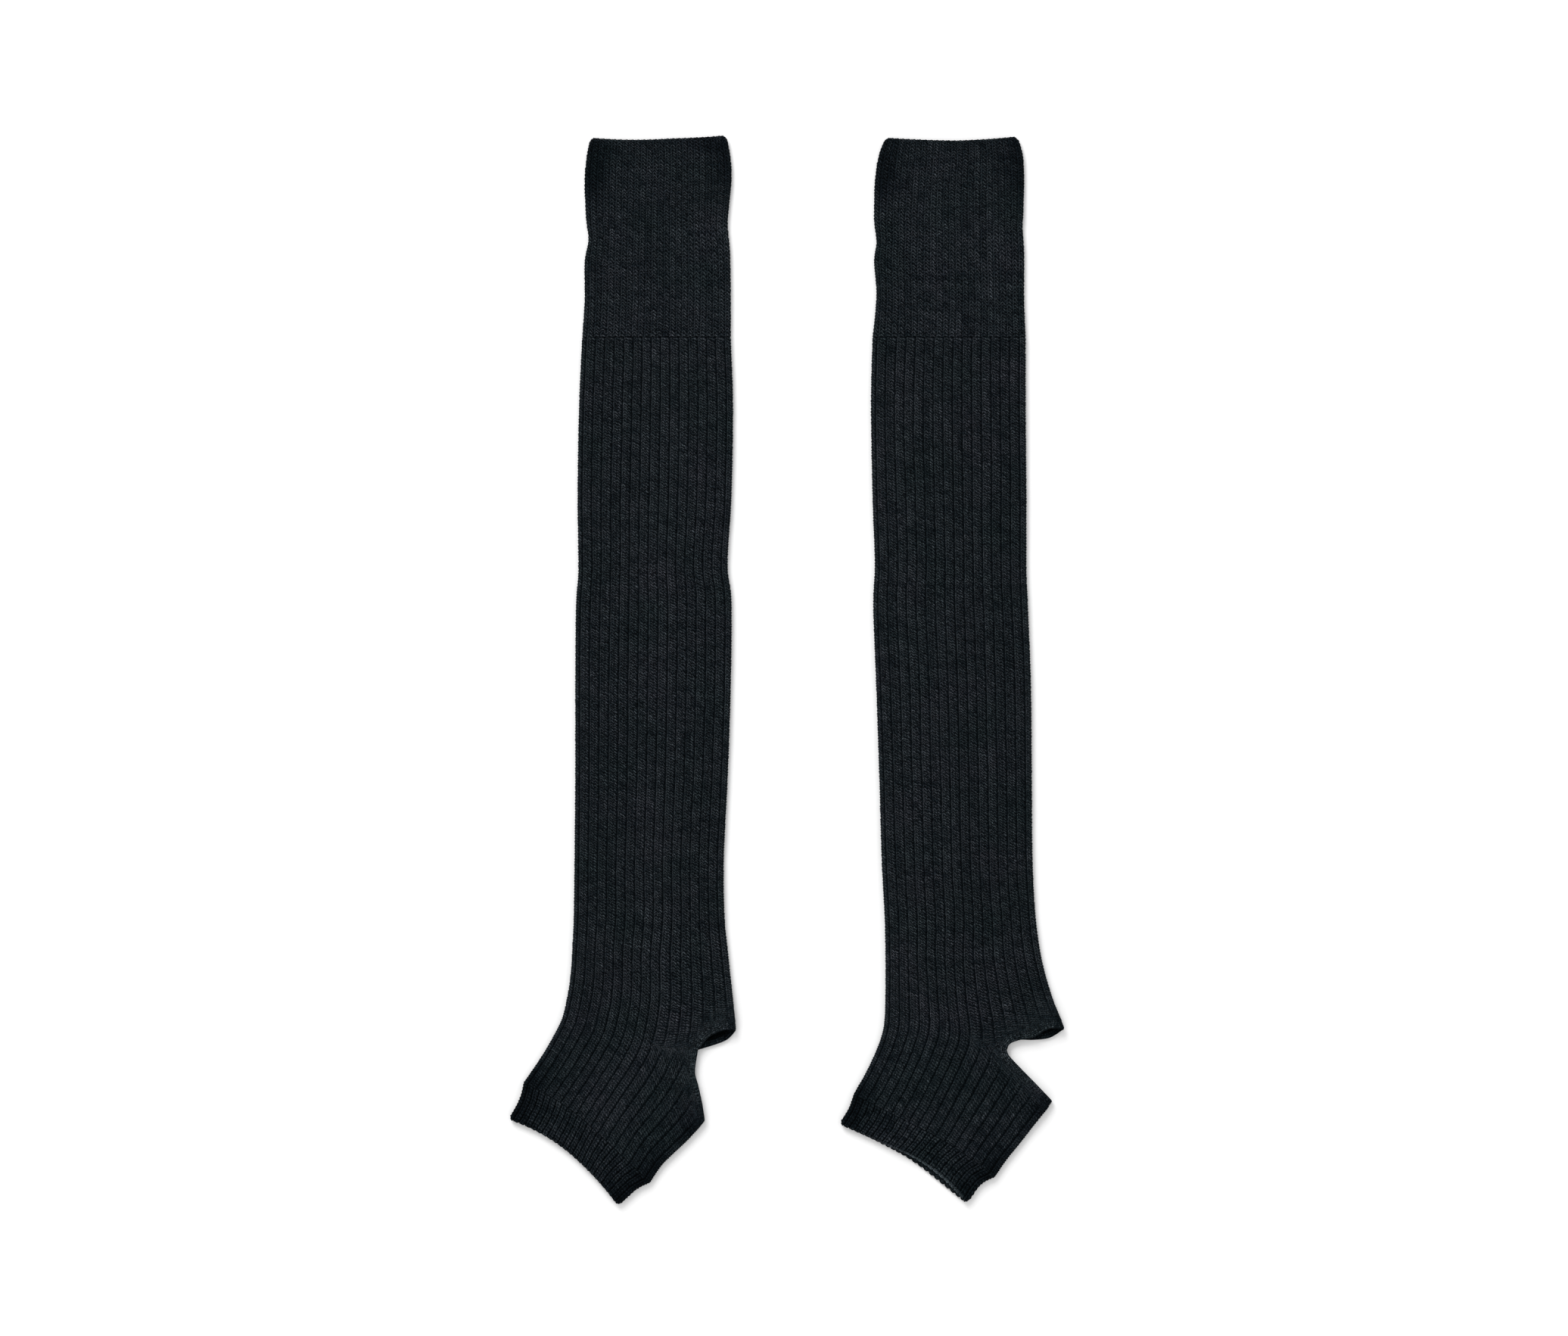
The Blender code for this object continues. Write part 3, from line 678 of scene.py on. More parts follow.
class HeelEdge:
    """One edge of the heel opening and the seam of its band: from the gore along the seam to
    the inner corner, and on beside the edge to the fold."""

    def __init__(self, points, gore, width, side, fold):
        points = np.array(points)
        self.edge = spline(points, np.linspace(0, len(points) - 1, EDGE_POINTS))
        self.length = walked(self.edge)
        along = unit(np.gradient(self.edge, axis=0))
        normal = np.stack([along[:, 1], -along[:, 0]], axis=-1) * side
        to_gore = unit(gore - self.edge[0])
        to_fold = unit(np.array(fold) - self.edge[-1])
        turning = smooth(self.length / ROUNDING)[:, None]
        ending = smooth(1 - (self.length[-1] - self.length) / ROUNDING)[:, None]
        normal = to_gore + (normal - to_gore) * turning
        self.normal = unit(normal + (to_fold - normal) * ending)
        self.width = LEG_BAND + (width - LEG_BAND) * smooth(self.length / BAND_CHANGE)
        seam = self.edge + self.normal * self.width[:, None]
        self.seam = np.vstack([gore, seam, seam[-1] + along[-1] * SEAM_BEYOND])

    def at(self, share, inset):
        """The opening's edge, the way to its seam and the band's width."""
        length = (self.length[-1] - inset) * share
        edge, normal = (
            np.stack([np.interp(length, self.length, values[:, k]) for k in (0, 1)], axis=-1)
            for values in (self.edge, self.normal)
        )
        return edge, unit(normal), np.interp(length, self.length, self.width)


def cross(a, b):
    return a[..., 0] * b[..., 1] - a[..., 1] * b[..., 0]


def reach(start, way, wall):
    """How far each column runs along its way from its start before it meets the wall."""
    corner, run = wall[:-1], np.diff(wall, axis=0)
    offset = corner[None] - start[:, None]
    facing = cross(way[:, None], run[None])
    distance = cross(offset, run[None]) / facing
    along = cross(offset, way[:, None]) / facing
    on_wall = (along >= -WALL_SLACK) & (along <= 1 + WALL_SLACK)
    meets = on_wall & (distance > -FARTHEST_BACK)
    nearest = np.where(meets, distance, np.inf).min(axis=1)
    return np.where(np.isfinite(nearest), nearest, 0.0)


class HeelRun:
    """How far the heel's columns of one half run on past the course where the heel turns, or
    stop short of it, before they meet the seam of the band."""

    def __init__(self, lie, ring, half, edges):
        self.turn_course, self.heel = lie.turn_course, ring.heel
        self.sign = -1 if half else 1
        turn = np.full(len(ring), float(lie.turn_course))
        inset = inset_outside(ring.turn, 0.0)
        start = lie.across(turn, half, ring.share, inset)
        before = lie.across(turn - RUN_ON_STEP * self.sign, half, ring.share, inset)
        heel = ring.heel
        self.way = np.zeros_like(start)
        self.way[heel] = unit(start[heel] - before[heel])
        self.pitch = np.linalg.norm(start - before, axis=-1) / RUN_ON_STEP
        front, back = (reach(start[heel], self.way[heel], edge.seam) for edge in edges)
        self.stop = np.zeros(len(ring))
        self.stop[heel] = np.where(ring.turn[heel] >= 0, front, back)
        self.stop[[heel.start, heel.stop - 1]] = 0.0
        self.find_gore_seam(start[heel], *edges[0].seam[:2])

    def find_gore_seam(self, start, gore, corner):
        """Which heel columns, on top and below, end on the seam between the gore and the
        opening's inner corner."""
        ends = start + self.way[self.heel] * self.stop[self.heel, None]
        seam = corner - gore
        self.seam_share = ((ends - gore) @ seam) / (seam @ seam)
        on_seam = np.abs(cross(ends - gore, unit(seam)[None])) < SEAM_WIDTH
        self.first_off = int(np.argmin(on_seam))
        self.last_off = len(on_seam) - 1 - int(np.argmin(on_seam[::-1]))

    def past(self, number, columns=slice(None)):
        """How far past the turn each point is, in millimetres, before it is stopped."""
        return (number - self.turn_course) * self.sign * self.pitch[columns]

    def stopped(self, number, columns=slice(None)):
        """The course number to place each point at, and how far it runs on from there."""
        stop = self.stop[columns]
        limit = self.turn_course + self.sign * np.minimum(stop, 0.0) / self.pitch[columns]
        held = np.minimum(number, limit) if self.sign > 0 else np.maximum(number, limit)
        in_heel = np.zeros(len(self.stop), bool)
        in_heel[self.heel] = True
        onward = np.clip(self.past(number, columns), 0.0, np.maximum(stop, 0.0))
        return np.where(in_heel[columns], held, number), onward


# --- Meshes -----------------------------------------------------------------------------


class Shell:
    """The points and faces of one closed piece of cloth, and its map for finishes."""

    def __init__(self):
        self.places, self.shades = [], []
        self.count = 0
        self.quads, self.quad_maps = [], []
        self.triangles, self.triangle_maps = [], []

    def add(self, places, shades):
        """Add a block of points and return their numbers in the same layout."""
        shape = places.shape[:-1]
        total = int(np.prod(shape))
        numbers = np.arange(self.count, self.count + total).reshape(shape)
        self.count += total
        self.places.append(places.reshape(-1, 3))
        self.shades.append(np.broadcast_to(shades, shape).reshape(-1))
        return numbers

    def skin(self, numbers, patch, inward=False):
        """Faces over a block of rows and columns, leaving out those with no size."""
        rows, columns = numbers.shape
        u = patch.u0 + (patch.u1 - patch.u0) * np.linspace(0, 1, columns)
        v = patch.v0 + (patch.v1 - patch.v0) * np.linspace(0, 1, rows)
        spread = np.stack(np.broadcast_arrays(u[None, :], v[:, None]), axis=-1)
        order = [(0, 0), (1, 0), (1, 1), (0, 1)]
        if inward:
            order.reverse()
        corners, maps = (
            np.stack(
                [
                    block[r : rows - 1 + r, c : columns - 1 + c].reshape(-1, *block.shape[2:])
                    for r, c in order
                ],
                axis=1,
            )
            for block in (numbers, spread)
        )
        twins = (corners == np.roll(corners, -1, axis=1)).any(axis=1)
        self.quads.append(corners[~twins])
        self.quad_maps.append(maps[~twins])
        for face, face_map in zip(corners[twins], maps[twins]):
            kept = [k for k in range(4) if face[k] != face[k - 1]]
            if len(kept) == 3:
                self.triangles.append(face[kept])
                self.triangle_maps.append(face_map[kept])

    def zip(self, row, at, other, other_at, patch, inward=False):
        """Triangles between two rows of points, each with its place along the join."""
        low, high = min(at[0], other_at[0]), max(at[-1], other_at[-1])
        sides = ((row, at, patch.u0), (other, other_at, patch.u1))

        def corner(side, index):
            numbers, places, u = sides[side]
            share = (places[index] - low) / (high - low)
            return numbers[index], (u, patch.v0 + (patch.v1 - patch.v0) * share)

        i = j = 0
        while i < len(row) - 1 or j < len(other) - 1:
            can_step = i < len(row) - 1
            if can_step and (j == len(other) - 1 or at[i + 1] <= other_at[j + 1]):
                corners = [corner(0, i), corner(0, i + 1), corner(1, j)]
                i += 1
            else:
                corners = [corner(0, i), corner(1, j + 1), corner(1, j)]
                j += 1
            if len({number for number, _ in corners}) < 3:
                continue
            if inward:
                corners.reverse()
            self.triangles.append(np.array([number for number, _ in corners]))
            self.triangle_maps.append(np.array([spot for _, spot in corners]))

    def finished(self, name, material):
        places = np.concatenate(self.places)
        faces = np.concatenate(self.quads).tolist()
        maps = [np.concatenate(self.quad_maps).reshape(-1, 2)]
        if self.triangles:
            faces += np.array(self.triangles).tolist()
            maps.append(np.array(self.triangle_maps).reshape(-1, 2))
        data = bpy.data.meshes.new(name)
        data.from_pydata(places.tolist(), [], faces)
        layer = data.uv_layers.new(name="OFBake")
        layer.data.foreach_set("uv", np.concatenate(maps).astype(np.float32).reshape(-1))
        # The shade attribute holds painted shade and highlights, with random differences of the
        # yarn.
        shade = data.color_attributes.new(name="shade", type="FLOAT_COLOR", domain="POINT")
        values = np.ones((len(places), 4), np.float32)
        values[:, :3] = np.concatenate(self.shades)[:, None]
        shade.data.foreach_set("color", values.reshape(-1))
        data.materials.append(material)
        data.shade_smooth()
        data.set_sharp_from_angle(angle=SHARP_ANGLE)
        return put(name, data)


# A patch of the map from 0 to 1 that one block of faces takes.
Patch = namedtuple("Patch", "u0 v0 u1 v1")
OUTSIDE = {
    "whole": Patch(0.0, 0.0, 0.80, 1.0),
    "leg": Patch(0.0, 0.0, 0.80, 0.66),
    "foot": Patch(0.0, 0.67, 0.80, 0.86),
    "leg_run": Patch(0.0, 0.87, 0.39, 1.0),
    "foot_run": Patch(0.41, 0.87, 0.80, 1.0),
}
INSIDE_FROM = 0.84
INSIDE = {
    name: patch._replace(
        u0=INSIDE_FROM + (1 - INSIDE_FROM) * patch.u0,
        u1=INSIDE_FROM + (1 - INSIDE_FROM) * patch.u1,
    )
    for name, patch in OUTSIDE.items()
}
# The joins have slender patches, in two columns beside the big ones.
JOIN_COLUMNS = (0.805, 0.975)
JOIN_PITCH = 0.004
JOIN_WIDTH = 0.003


def join_patch(column, place):
    u = JOIN_COLUMNS[column] + JOIN_PITCH * place
    return Patch(u, 0.0, u + JOIN_WIDTH, 1.0)


# --- Knitting a tube --------------------------------------------------------------------


class Maker:
    """Knits the rows of one tube: its points on the outside and the inside."""

    def __init__(
        self, piece, knit, lie, width, seed, stretch_from, open_start=False, open_end=False, lip=0.0
    ):
        self.piece, self.knit, self.lie, self.seed = piece, knit, lie, seed
        self.stretch_from, self.toe_lip = stretch_from, lip
        self.open_start, self.open_end = open_start, open_end
        gore_share = gore_share_of(piece)
        plain = knit._replace(front=PLAIN_INSIDE, back=PLAIN_INSIDE)
        self.outer, self.inner = Ring(knit, gore_share, width), Ring(plain, gore_share, width)
        rng = np.random.default_rng(seed)
        stitches = (lie.courses + 2 * SPARE_COURSES, knit.ribs_round * knit.wales)
        self.luck, self.lean, self.drift, self.by_wale, self.by_course = (
            lucky(rng, size) for size in (stitches, stitches, stitches, stitches[1], stitches[0])
        )

    def wandering(self, kind, x, y, wave):
        """One of this tube's ripples, the same each time it is asked for."""
        return ripple(np.random.default_rng(self.seed + kind), x, y, wave)

    def uneven_number(self, number, at):
        """The course lines wander a little."""
        courses_left = self.lie.courses - number
        inside = smooth(number / STEADY_COURSES) * smooth(courses_left / STEADY_COURSES)
        wander = self.wandering(LINES, at * RIB_WIDTH, number * COURSE_HEIGHT, LINE_WAVE)
        return number + LINE_WANDER * inside * wander

    def uneven_share(self, ring, number, columns, drift):
        """The ribs wander a little between the folds and the gore line, and their stitches
        drift to either side."""
        share = ring.share[columns]
        gore = ring.gore_share
        part = np.where(share <= gore, share / gore, (share - gore) / (1 - gore))
        room = np.sin(np.pi * part) ** 2
        x = share * TUBE_WIDTH * np.sign(np.sin(ring.turn[columns]))
        wander = self.wandering(RIBS, x, number * COURSE_HEIGHT, RIB_WAVE) * room * RIB_WANDER
        wander = wander + drift * np.minimum(1, DRIFT_ROOM * room) * SIDE_LUCK
        return np.clip(share + wander / TUBE_WIDTH, 0, 1)

    def places(self, ring, columns, number, inset, half, run, drift=0.0):
        share = self.uneven_share(ring, number, columns, drift)
        if run is None:
            return self.lipped(ring, columns, number, self.lie.across(number, half, share, inset))
        held, onward = run.stopped(number, columns)
        places = self.lie.across(held, half, share, inset)
        return places + run.way[columns] * onward[..., None]

    def lip(self, ring, columns, number, reach, side):
        """Where the open toe's two edges lie apart: 1 at three quarters along the edge of
        the front layer, side 1, or of the back one, side -1, and 0 this far from it."""
        share = ring.share[columns]
        near_end = np.clip(1 - (self.lie.courses - number) * self.knit.course / reach, 0, 1)
        on_side = ring.turn[columns] * side > 0
        return np.where(on_side, LIP_TOP * share**3 * (1 - share), 0) * near_end

    def lipped(self, ring, columns, number, places):
        """The back layer's edge carried past the front one's."""
        if not self.toe_lip:
            return places
        ends = np.full(2, float(self.lie.courses))
        first, last = self.lie.across(ends, 0, np.array([0.0, 1.0]), np.zeros(2))
        run = unit(last - first)
        amount = self.toe_lip * self.lip(ring, columns, number, LIP_REACH, -1)
        return places + amount[..., None] * np.array([-run[1], run[0]])

    def outside(self, rows, columns=slice(None), half=0, run=None):
        """Points and shades of the outside, and which points have come to the heel band: rows
        are halves of a course, with the yarn's crests at the odd ones."""
        ring, rows = self.outer, np.asarray(rows)
        turn, wale = ring.turn[columns], ring.wale[columns]
        number = rows[:, None] / 2.0
        crest = (rows % 2 == 1)[:, None]
        course = np.clip(rows // 2 + SPARE_COURSES, 0, len(self.luck) - 1)
        draws = (self.luck, self.lean, self.drift)
        luck, lean, drift = (by_stitch[course][:, wale] for by_stitch in draws)
        fade = np.clip(np.minimum(number, self.lie.courses - number), 0, 1)
        foot = smooth((number - self.stretch_from) / STRETCHING_COURSES)
        ribbed = self.ribbed(run, number, columns)
        lines = np.maximum(FOOT_LINES * foot, 1 - ribbed)

        # Where each stitch is and how high its yarn stands.
        slant = ring.shift[columns] * (1 - FOOT_SLANT_LOSS * foot) * (1 + LEAN_LUCK * lean)
        shift = slant * (PLAIN_SLANT + (1 - PLAIN_SLANT) * ribbed)
        shift = (shift + SHIFT_LUCK * (1 - FOOT_EVENNESS * foot) * luck) * fade
        height = ring.height[columns] * ribbed * (1 - (1 - FOOT_DEPTH) * foot)
        height = height - PLAIN_DIP * (1 - ribbed)
        between = HOLLOW * (1 - lines / 2)
        height = height + np.where(crest, CREST, between) * (1 + DEPTH_LUCK * luck)
        height = height + HEIGHT_LUCK * luck
        height, number, corner = self.edges(ring, columns, height, number + shift)
        underneath = turn < -UNDERNEATH
        height = np.where(underneath, np.minimum(height - CREST, 0.0), height)
        spread = self.uneven_number(number, ring.at[columns])
        inset = inset_outside(turn, height, corner)
        places = self.places(ring, columns, spread, inset, half, run, drift * fade)
        total = thickness(self.piece, places) - creasing(self.piece, places)
        x, down = places[..., 0], places[..., 1]
        total = total + TOP_WANDER * self.wandering(TOP_SIDE, x, down, TOP_WAVE)
        level = np.maximum(level_outside(total, turn, height), 0.0)

        # How light it is: painted highlights on the crests, painted shade in the grooves and
        # hollows, the tube's patches of painted shade, and random differences of the yarn.
        yarn = ring.crest[columns] ** (1 + FOOT_CONTRAST * foot)
        yarn = yarn * ribbed + PLAIN_CREST * (1 - ribbed)
        between = ring.hollow[columns] * (1 - lines) + LINE_HOLLOW * yarn * lines
        shade = np.where(crest, yarn, between) * (1 - (1 - FOOT_SHADE) * foot)
        shade = shade * (1 + SHADE_LUCK * luck + COURSE_LUCK * self.by_course[course][:, None])
        shade = shade * (1 + WALE_LUCK * self.by_wale[wale]) * painted_lighting(self.piece, places)
        # A painted highlight along the rim of the toe's front layer.
        if self.toe_lip:
            rim_highlight = np.minimum(1, RIM_HIGHLIGHT_FULL * self.lip(ring, columns, number, RIM_HIGHLIGHT_REACH, 1))
            shade = shade + (PAINTED_RIM_HIGHLIGHT - shade) * rim_highlight
        return in_world(self.piece, places, level), shade, self.arrived(run, spread, columns)

    def ribbed(self, run, number, columns):
        """How much of the ribs is left: 1 on the leg, less towards the heel band."""
        ring = self.outer
        if run is None:
            return np.ones((len(number), len(ring.at[columns])))
        left = run.stop[columns] - run.past(number, columns)
        heel = np.zeros(len(ring), bool)
        heel[ring.heel] = True
        into_heel = smooth((ring.at[columns] - ring.at[ring.heel.start]) / SOFT_RIBS)
        reach = SOFT_REACH["leg" if run.sign > 0 else "foot"]
        soft = 1 - (1 - SOFTEST) * (1 - smooth(left / reach)) * into_heel
        return np.where(heel[columns], smooth(left / FLAT_REACH) * soft, 1.0)

    def arrived(self, run, number, columns):
        """Which points have come to the seam of the heel band."""
        if run is None:
            return None
        return run.past(number, columns) >= run.stop[columns] - TOUCHING

    def edges(self, ring, columns, height, number):
        """Scallop and round off the open ends of the tube, and the corners of its folds."""
        lowest, highest = ring.height.min(), ring.height.max()
        stands = (ring.height[columns] - lowest) / (highest - lowest)
        corner = 0.0
        ends = ((self.open_start, number, -1), (self.open_end, self.lie.courses - number, 1))
        for is_open, left, way in ends:
            if is_open:
                near = np.clip(1 - left / END_COURSES, 0, 1)
                height = height - END_DROP * near**2
                number = number - way * SCALLOP * near * (1 - stands)
                corner = corner + CORNER * near**2
        return height, number, corner

    def inside(self, rows, columns=slice(None), half=0, run=None):
        """The same for the inside, whose rows are halves of a course too."""
        ring = self.inner
        turn = ring.turn[columns]
        number = np.asarray(rows)[:, None] / 2.0 + 0.0 * turn
        if self.open_start:
            number = np.maximum(number, SCALLOP)
        if self.open_end:
            number = np.minimum(number, self.lie.courses - SCALLOP)
        inset = np.broadcast_to(inset_inside(turn), number.shape)
        places = self.places(ring, columns, number, inset, half, run)
        level = level_inside(thickness(self.piece, places), turn)
        # Painted shade inside the tube, less dark towards the open toe.
        near_end = np.clip(1 - (self.lie.courses - number) / EDGE_COURSES, 0, 1) * self.open_end
        shade = (INSIDE_PAINTED_SHADE + (EDGE_PAINTED_SHADE - INSIDE_PAINTED_SHADE) * near_end) * ring.crest[columns]
        return in_world(self.piece, places, level), shade, self.arrived(run, number, columns)


def looped(numbers):
    """A block of rings with each ring's first column repeated at its end."""
    return np.concatenate([numbers, numbers[:, :1]], axis=1)


def rim(shell, maker, outer_row, inner_row, patch, inward):
    """Close the cut edge between the outside and the inside of a tube."""
    around = maker.knit.ribs_round
    shell.zip(
        np.append(outer_row, outer_row[0]),
        np.append(maker.outer.at, around),
        np.append(inner_row, inner_row[0]),
        np.append(maker.inner.at, around),
        patch,
        inward,
    )


def coarse(first, last):
    """The inside's rows, with both ends kept."""
    steps = max(1, round((last - first) / INSIDE_ROW_STEP))
    return np.linspace(first, last, steps + 1)


def knit_tube(name, maker, material, first=0, last=None):
    """A plain length of tube, between two courses."""
    last = maker.lie.courses if last is None else last
    shell = Shell()
    outer = shell.add(*maker.outside(np.arange(2 * first, 2 * last + 1))[:2])
    inner = shell.add(*maker.inside(coarse(2 * first, 2 * last))[:2])
    shell.skin(looped(outer), OUTSIDE["whole"])
    shell.skin(looped(inner), INSIDE["whole"], inward=True)
    rim(shell, maker, outer[0], inner[0], join_patch(0, 0), inward=False)
    rim(shell, maker, outer[-1], inner[-1], join_patch(1, 0), inward=True)
    return shell.finished(name, material)


def merged(numbers, arrived):
    """The numbers of a block's points, with each column's all one from where it arrives."""
    numbers = numbers.copy()
    for column in range(numbers.shape[1]):
        hits = np.flatnonzero(arrived[:, column])
        if len(hits):
            numbers[hits[0] :, column] = numbers[hits[0], column]
    return numbers


def knit_half(shell, maker, ring, half, rows, run, gore_row=None):
    """The rows of the leg or the foot from the turn outwards, with the heel's columns run on
    to the seam of the band. Returns the block of full rows and the block of run-on ones."""
    make = maker.outside if ring is maker.outer else maker.inside
    heel = ring.heel
    places, shades, arrived = make(rows, half=half, run=run)
    if gore_row is None:
        full = shell.add(places, shades)
    else:
        full = np.empty(places.shape[:-1], int)
        full[1:] = shell.add(places[1:], shades[1:])
        full[0] = gore_row
        opened = slice(heel.start + 1, heel.stop - 1)
        full[0, opened] = shell.add(places[0, opened], shades[0, opened])
    if half == 0:
        full, arrived = full[::-1], arrived[::-1]
    pace = abs(rows[1] - rows[0])
    reach_rows = 2 * (run.stop[heel] / run.pitch[heel]).max() + 2
    steps = int(math.ceil(reach_rows / pace)) + 1
    onward = 2 * run.turn_course + run.sign * pace * np.arange(1, steps + 1)
    places, shades, there = make(onward, columns=heel, half=half, run=run)
    # From the full rows farthest from the turn, through it and on to the last run-on row.
    column = np.vstack([full[::-1, heel], shell.add(places, shades)])
    column = merged(column, np.vstack([arrived[::-1, heel], there]))
    full = full.copy()
    full[:, heel] = column[: len(full)][::-1]
    run_on = column[len(full) - 1 :]
    run_on[:, 0], run_on[:, -1] = full[0, heel.start], full[0, heel.stop - 1]
    return full, run_on


def knit_ankle(name, maker, material, first, edges):
    """The lower leg and the foot: one tube, with the heel's courses left out."""
    lie = maker.lie
    shell = Shell()
    borders, rims = [], []
    turn = 2 * lie.turn_course
    last = 2 * lie.courses
    for ring, patches in ((maker.outer, OUTSIDE), (maker.inner, INSIDE)):
        is_outside = ring is maker.outer
        above = np.arange(2 * first, turn + 1) if is_outside else coarse(2 * first, turn)
        below = np.arange(turn, last + 1) if is_outside else coarse(turn, last)
        runs = [HeelRun(lie, ring, half, edges[half]) for half in (0, 1)]
        leg, leg_run = knit_half(shell, maker, ring, 0, above, runs[0])
        foot, foot_run = knit_half(shell, maker, ring, 1, below, runs[1], leg[0])
        shell.skin(looped(leg[::-1]), patches["leg"], inward=not is_outside)
        shell.skin(looped(foot), patches["foot"], inward=not is_outside)
        shell.skin(leg_run, patches["leg_run"], inward=not is_outside)
        shell.skin(foot_run, patches["foot_run"], inward=is_outside)
        rims.append((leg[-1], foot[-1]))
        at = ring.at[ring.heel]
        borders.append(((leg_run[-1], at, runs[0]), (foot_run[-1], at, runs[1])))
    for index, sides in enumerate(borders):
        close_gore_seams(shell, sides, index)
    close_opening(shell, borders)
    (leg_top, toe), (leg_top_inside, toe_inside) = rims
    rim(shell, maker, leg_top, leg_top_inside, join_patch(0, 0), inward=False)
    rim(shell, maker, toe, toe_inside, join_patch(1, 0), inward=True)
    return shell.finished(name, material)


def close_gore_seams(shell, sides, index):
    """Join the leg's courses to the foot's, from the gore to the opening's inner corner, on
    top and underneath."""
    for on_top in (True, False):
        rows = []
        for border, _, run in sides:
            part = slice(0, run.first_off) if on_top else slice(run.last_off + 1, None)
            order = 1 if on_top else -1
            rows += [border[part][::order], run.seam_share[part][::order]]
        patch = join_patch(0, 1 + index + 2 * on_top)
        shell.zip(*rows, patch, inward=on_top == (index == 0))


def close_opening(shell, borders):
    """Join the outside to the inside all round the heel opening, the leg's side first."""
    loops = []
    for sides in borders:
        numbers, places = [], []
        for order, (border, at, run) in enumerate(sides):
            part = slice(run.first_off - 1, run.last_off + 2)
            row, share = border[part], np.interp(at[part], at[part][[0, -1]], [0, 1])
            if order == 1:
                row, share = row[::-1], SECOND_SIDE + (1 - share[::-1])
            numbers.append(row)
            places.append(share)
        numbers.append(numbers[0][:1])
        places.append([ROUND_AGAIN])
        loops += [np.concatenate(numbers), np.concatenate(places)]
    shell.zip(*loops, join_patch(1, 2), inward=True)


# --- The heel band ----------------------------------------------------------------------


def band_columns(edge_front, edge_back):
    """The stitches along one side of the opening: over the front to the fold and back."""
    over, under = edge_front.length[-1] - FOLD_RADIUS, edge_back.length[-1] - FOLD_RADIUS
    around = math.pi * FOLD_RADIUS
    total = over + around + under
    stitches = round(total / BAND_STITCH_WIDTH)
    at = np.array([s + place for s in range(stitches) for place, _, _ in BAND_STITCH])
    at = np.append(at, stitches) * total / stitches
    height, zigzag = (
        np.append(np.tile([stitch[k] for stitch in BAND_STITCH], stitches), BAND_STITCH[0][k])
        for k in (1, 2)
    )
    bends = [0, over, over + around, total]
    share = np.interp(at, bends, [0, 1, 1, 0])
    return share, np.interp(at, bends, [QUARTER, QUARTER, -QUARTER, -QUARTER]), height, zigzag


def band_block(piece, edges, seed):
    """Points of the band along one side of the opening: lines across it by columns."""
    front, back = edges
    share, turn, height, zigzag = band_columns(front, back)
    rng = np.random.default_rng(seed)
    count, points = len(share), len(BAND_STITCH)
    luck = np.repeat(lucky(rng, count // points + 1), points)[:count]
    lines = [(*line, True) for line in BAND_LINES]
    lines += [(place, 0.0, 0.0, tone, False) for place, tone in BAND_INSIDE]
    blocks, shades = [], []
    for place, dip, sway, tone, outside in lines:
        stand = height * (1 if BAND_FULL[0] < place < BAND_FULL[1] else BAND_REST)
        stand = stand * (1 + BAND_LUCK * luck) - dip
        stand = np.where(turn < -BAND_UNDERNEATH, np.minimum(stand, 0), stand)
        inset = inset_outside(turn, stand) if outside else inset_inside(turn)
        on_front = turn >= 0
        edge, normal, width = (
            np.where(on_front if one.ndim == 1 else on_front[:, None], one, other)
            for one, other in zip(front.at(share, inset), back.at(share, inset))
        )
        places = edge + normal * (width * (1 - place - sway * zigzag))[:, None]
        total = thickness(piece, places)
        if outside:
            level = level_outside(total - creasing(piece, places), turn, stand)
        else:
            level = level_inside(total, turn)
        blocks.append(in_world(piece, places, np.maximum(level, 0.0)))
        speck = np.clip(1 + SPECK * rng.normal(size=count), *SPECK_BOUNDS)
        # Painted shade in the dips of the zigzag.
        crook = np.where(zigzag == 1.0, CROOK_PAINTED_SHADE, 1.0)
        shade = tone * speck * (1 + BAND_TONE_LUCK * luck) * crook
        shades.append(shade * painted_lighting(piece, places))
    return np.array(blocks), np.array(shades)


def knit_heel_band(name, piece, edges, material, seed):
    """The plain band all round the opening of the heel."""
    shell = Shell()
    leg, sole = (band_block(piece, edges[k], seed + k) for k in (0, 1))
    points, shades = (
        np.concatenate([on_leg, on_sole[:, -2:0:-1]], axis=1) for on_leg, on_sole in zip(leg, sole)
    )
    numbers = shell.add(points, shades)
    ring = np.concatenate([numbers, numbers[:1]], axis=0)
    shell.skin(looped(ring), Patch(0.0, 0.0, 1.0, 1.0))
    return shell.finished(name, material)


# --- Finishes ---------------------------------------------------------------------------


class Wire:
    """An output of a material's node. Arithmetic on it adds the Math nodes that do it."""

    def __init__(self, tree, socket=None):
        self.tree, self.socket = tree, socket

    def node(self, kind, settings=None, output=0, **inputs):
        """A new node: its settings first, then the values or links of its sockets."""
        node = self.tree.nodes.new(kind)
        for name, value in (settings or {}).items():
            setattr(node, name, value)
        for name, value in inputs.items():
            index = int(name[1:]) if name[1:].isdigit() else name.replace("_", " ")
            socket = node.inputs[index]
            if isinstance(value, Wire):
                self.tree.links.new(value.socket, socket)
            else:
                socket.default_value = value
        return Wire(self.tree, node.outputs[output]) if node.outputs else None

    def math(self, operation, *values):
        inputs = {f"_{index}": value for index, value in enumerate(values)}
        return self.node("ShaderNodeMath", {"operation": operation}, **inputs)

    def __add__(self, other):
        return self.math("ADD", self, other)

    def __sub__(self, other):
        return self.math("SUBTRACT", self, other)

    def __rsub__(self, other):
        return self.math("SUBTRACT", other, self)

    def __mul__(self, other):
        return self.math("MULTIPLY", self, other)

    __radd__ = __add__
    __rmul__ = __mul__


